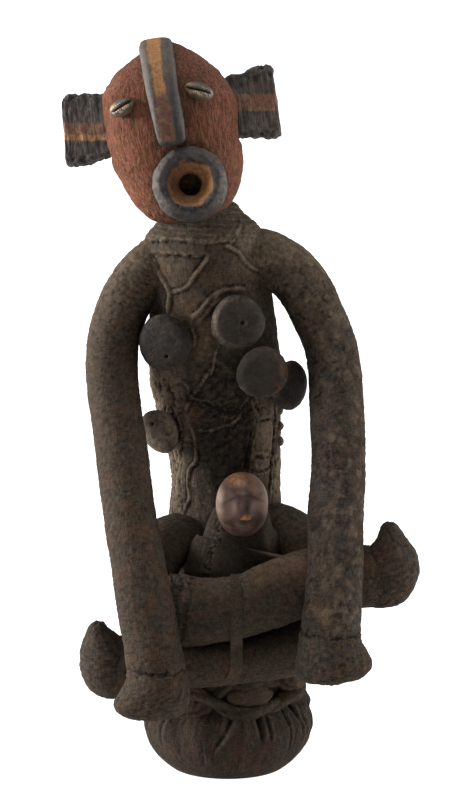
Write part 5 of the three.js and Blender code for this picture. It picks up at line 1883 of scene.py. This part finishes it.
class EFFIGY_OT_head(bpy.types.Operator):
    """Builds the red head with its nose bar, mouth ring, ears and cowries"""

    bl_options = {"REGISTER", "UNDO"}
    bl_idname = "effigy.head"
    bl_label = "Head"

    def execute(self, context):
        """Each piece of the head stands for its own solid."""
        build("red_head", [head_skin()], felt_material(), ["head"])
        painted = painted_material("Painted wood", False)
        build("nose", [nose_skin()], painted, ["nose_bar"])
        build("mouth", [mouth_skin()], painted, ["mouth_ring"])
        fibrous = painted_material("Painted fibre", True)
        build("left_ear", [ear_skin(-1)], fibrous, ["ear_left"])
        build("right_ear", [ear_skin(1)], fibrous, ["ear_right"])
        shell = shell_material()
        for number, (node, shape) in enumerate(COWRIES.items()):
            side = node.split("_")[1]
            build(f"{side}_cowrie", [cowrie_skin(shape, number)], shell, [node])
        return {"FINISHED"}


class EFFIGY_OT_seeds(bpy.types.Operator):
    """Builds the five dark seeds on the trunk"""

    bl_options = {"REGISTER", "UNDO"}
    bl_idname = "effigy.seeds"
    bl_label = "Seeds"

    def execute(self, context):
        """Each seed stands for its own solid."""
        material = seed_material()
        for number, (node, shape) in enumerate(SEEDS.items()):
            letter = node.split("_")[1]
            build(f"disc_{letter}", [seed_skin(shape, number)], material, [node])
        return {"FINISHED"}


class EFFIGY_OT_stage(bpy.types.Operator):
    """Builds the pale floor, the lights, the white surround and the camera"""

    bl_options = {"REGISTER", "UNDO"}
    bl_idname = "effigy.stage"
    bl_label = "Stage"

    def execute(self, context):
        """The camera stands at the height and distance from which the figure is seen."""
        _, _, stage = settings()
        scene = bpy.context.scene
        scene.view_settings.view_transform = "Standard"
        scene.view_settings.look = "None"
        middle = Vector((0, 0, STAGE["aim"]))
        way = Vector((0, math.cos(stage.elevation), -math.sin(stage.elevation)))
        data = bpy.data.cameras.new("Camera")
        data.lens = STAGE["lens"]
        scene.camera = self.aimed("Camera", data, middle - stage.distance * way, way)
        self.floor(STAGE["floor"])
        self.light("Left", (-1.0, 0.1, 0.1), stage.key)
        self.light("Right", (1.0, 0.1, 0.1), stage.fill)
        self.light("Top", (-0.1, -0.1, 1.0), stage.top)
        world = bpy.data.worlds.new("Surround")
        world.use_nodes = True
        surround = world.node_tree.nodes["Background"].inputs
        surround["Color"].default_value = (1, 1, 1, 1)
        surround["Strength"].default_value = stage.sky
        scene.world = world
        return {"FINISHED"}

    def floor(self, half):
        """A square floor of that half size."""
        mesh = bpy.data.meshes.new("floor")
        corners = [(-half, -half, 0), (half, -half, 0), (half, half, 0), (-half, half, 0)]
        mesh.from_pydata(corners, [], [(0, 1, 2, 3)])
        mesh.materials.append(floor_material())
        plane = bpy.data.objects.new("floor", mesh)
        bpy.context.scene.collection.objects.link(plane)

    def light(self, name, side, strength):
        """A broad, far light that shines from a side, as soft as a large panel."""
        data = bpy.data.lights.new(name, "SUN")
        data.energy = strength
        data.angle = math.radians(STAGE["light"])
        self.aimed(name, data, Vector(side) * 2, -Vector(side))

    def aimed(self, name, data, place, way):
        """An object at a place that looks along a way."""
        seen = bpy.data.objects.new(name, data)
        seen.location = place
        seen.rotation_mode = "QUATERNION"
        seen.rotation_quaternion = way.to_track_quat("-Z", "Y")
        bpy.context.scene.collection.objects.link(seen)
        return seen


PIECE_OPERATORS = (
    EFFIGY_OT_trunk, EFFIGY_OT_arms, EFFIGY_OT_legs, EFFIGY_OT_base, EFFIGY_OT_lap_figure,
    EFFIGY_OT_head, EFFIGY_OT_seeds, EFFIGY_OT_stage,
)


class EFFIGY_PT_panel(bpy.types.Panel):
    """Lists the pieces, sizes and colours of the effigy"""

    bl_idname = "EFFIGY_PT_panel"
    bl_label = "Seated cloth effigy"
    bl_space_type = "VIEW_3D"
    bl_region_type = "UI"
    bl_category = "Effigy"

    def draw(self, context):
        """One button for each operator, then the values."""
        for operator in PIECE_OPERATORS:
            self.layout.operator(operator.bl_idname)
        for group in settings():
            box = self.layout.box()
            for key in group.__annotations__:
                box.prop(group, key)


CLASSES = (EffigySizes, EffigyColours, EffigyStage, *PIECE_OPERATORS, EFFIGY_PT_panel)


def register():
    """Registers the classes and hangs the values on the scene."""
    for cls in CLASSES:
        bpy.utils.register_class(cls)
    bpy.types.Scene.effigy_sizes = PointerProperty(type=EffigySizes)
    bpy.types.Scene.effigy_colours = PointerProperty(type=EffigyColours)
    bpy.types.Scene.effigy_stage = PointerProperty(type=EffigyStage)


def unregister():
    """Takes back what register did."""
    del bpy.types.Scene.effigy_stage
    del bpy.types.Scene.effigy_colours
    del bpy.types.Scene.effigy_sizes
    for cls in reversed(CLASSES):
        bpy.utils.unregister_class(cls)


def main():
    register()
    for operator in PIECE_OPERATORS:
        getattr(bpy.ops.effigy, operator.bl_idname.split(".")[1])()


if __name__ == "__main__":
    main()
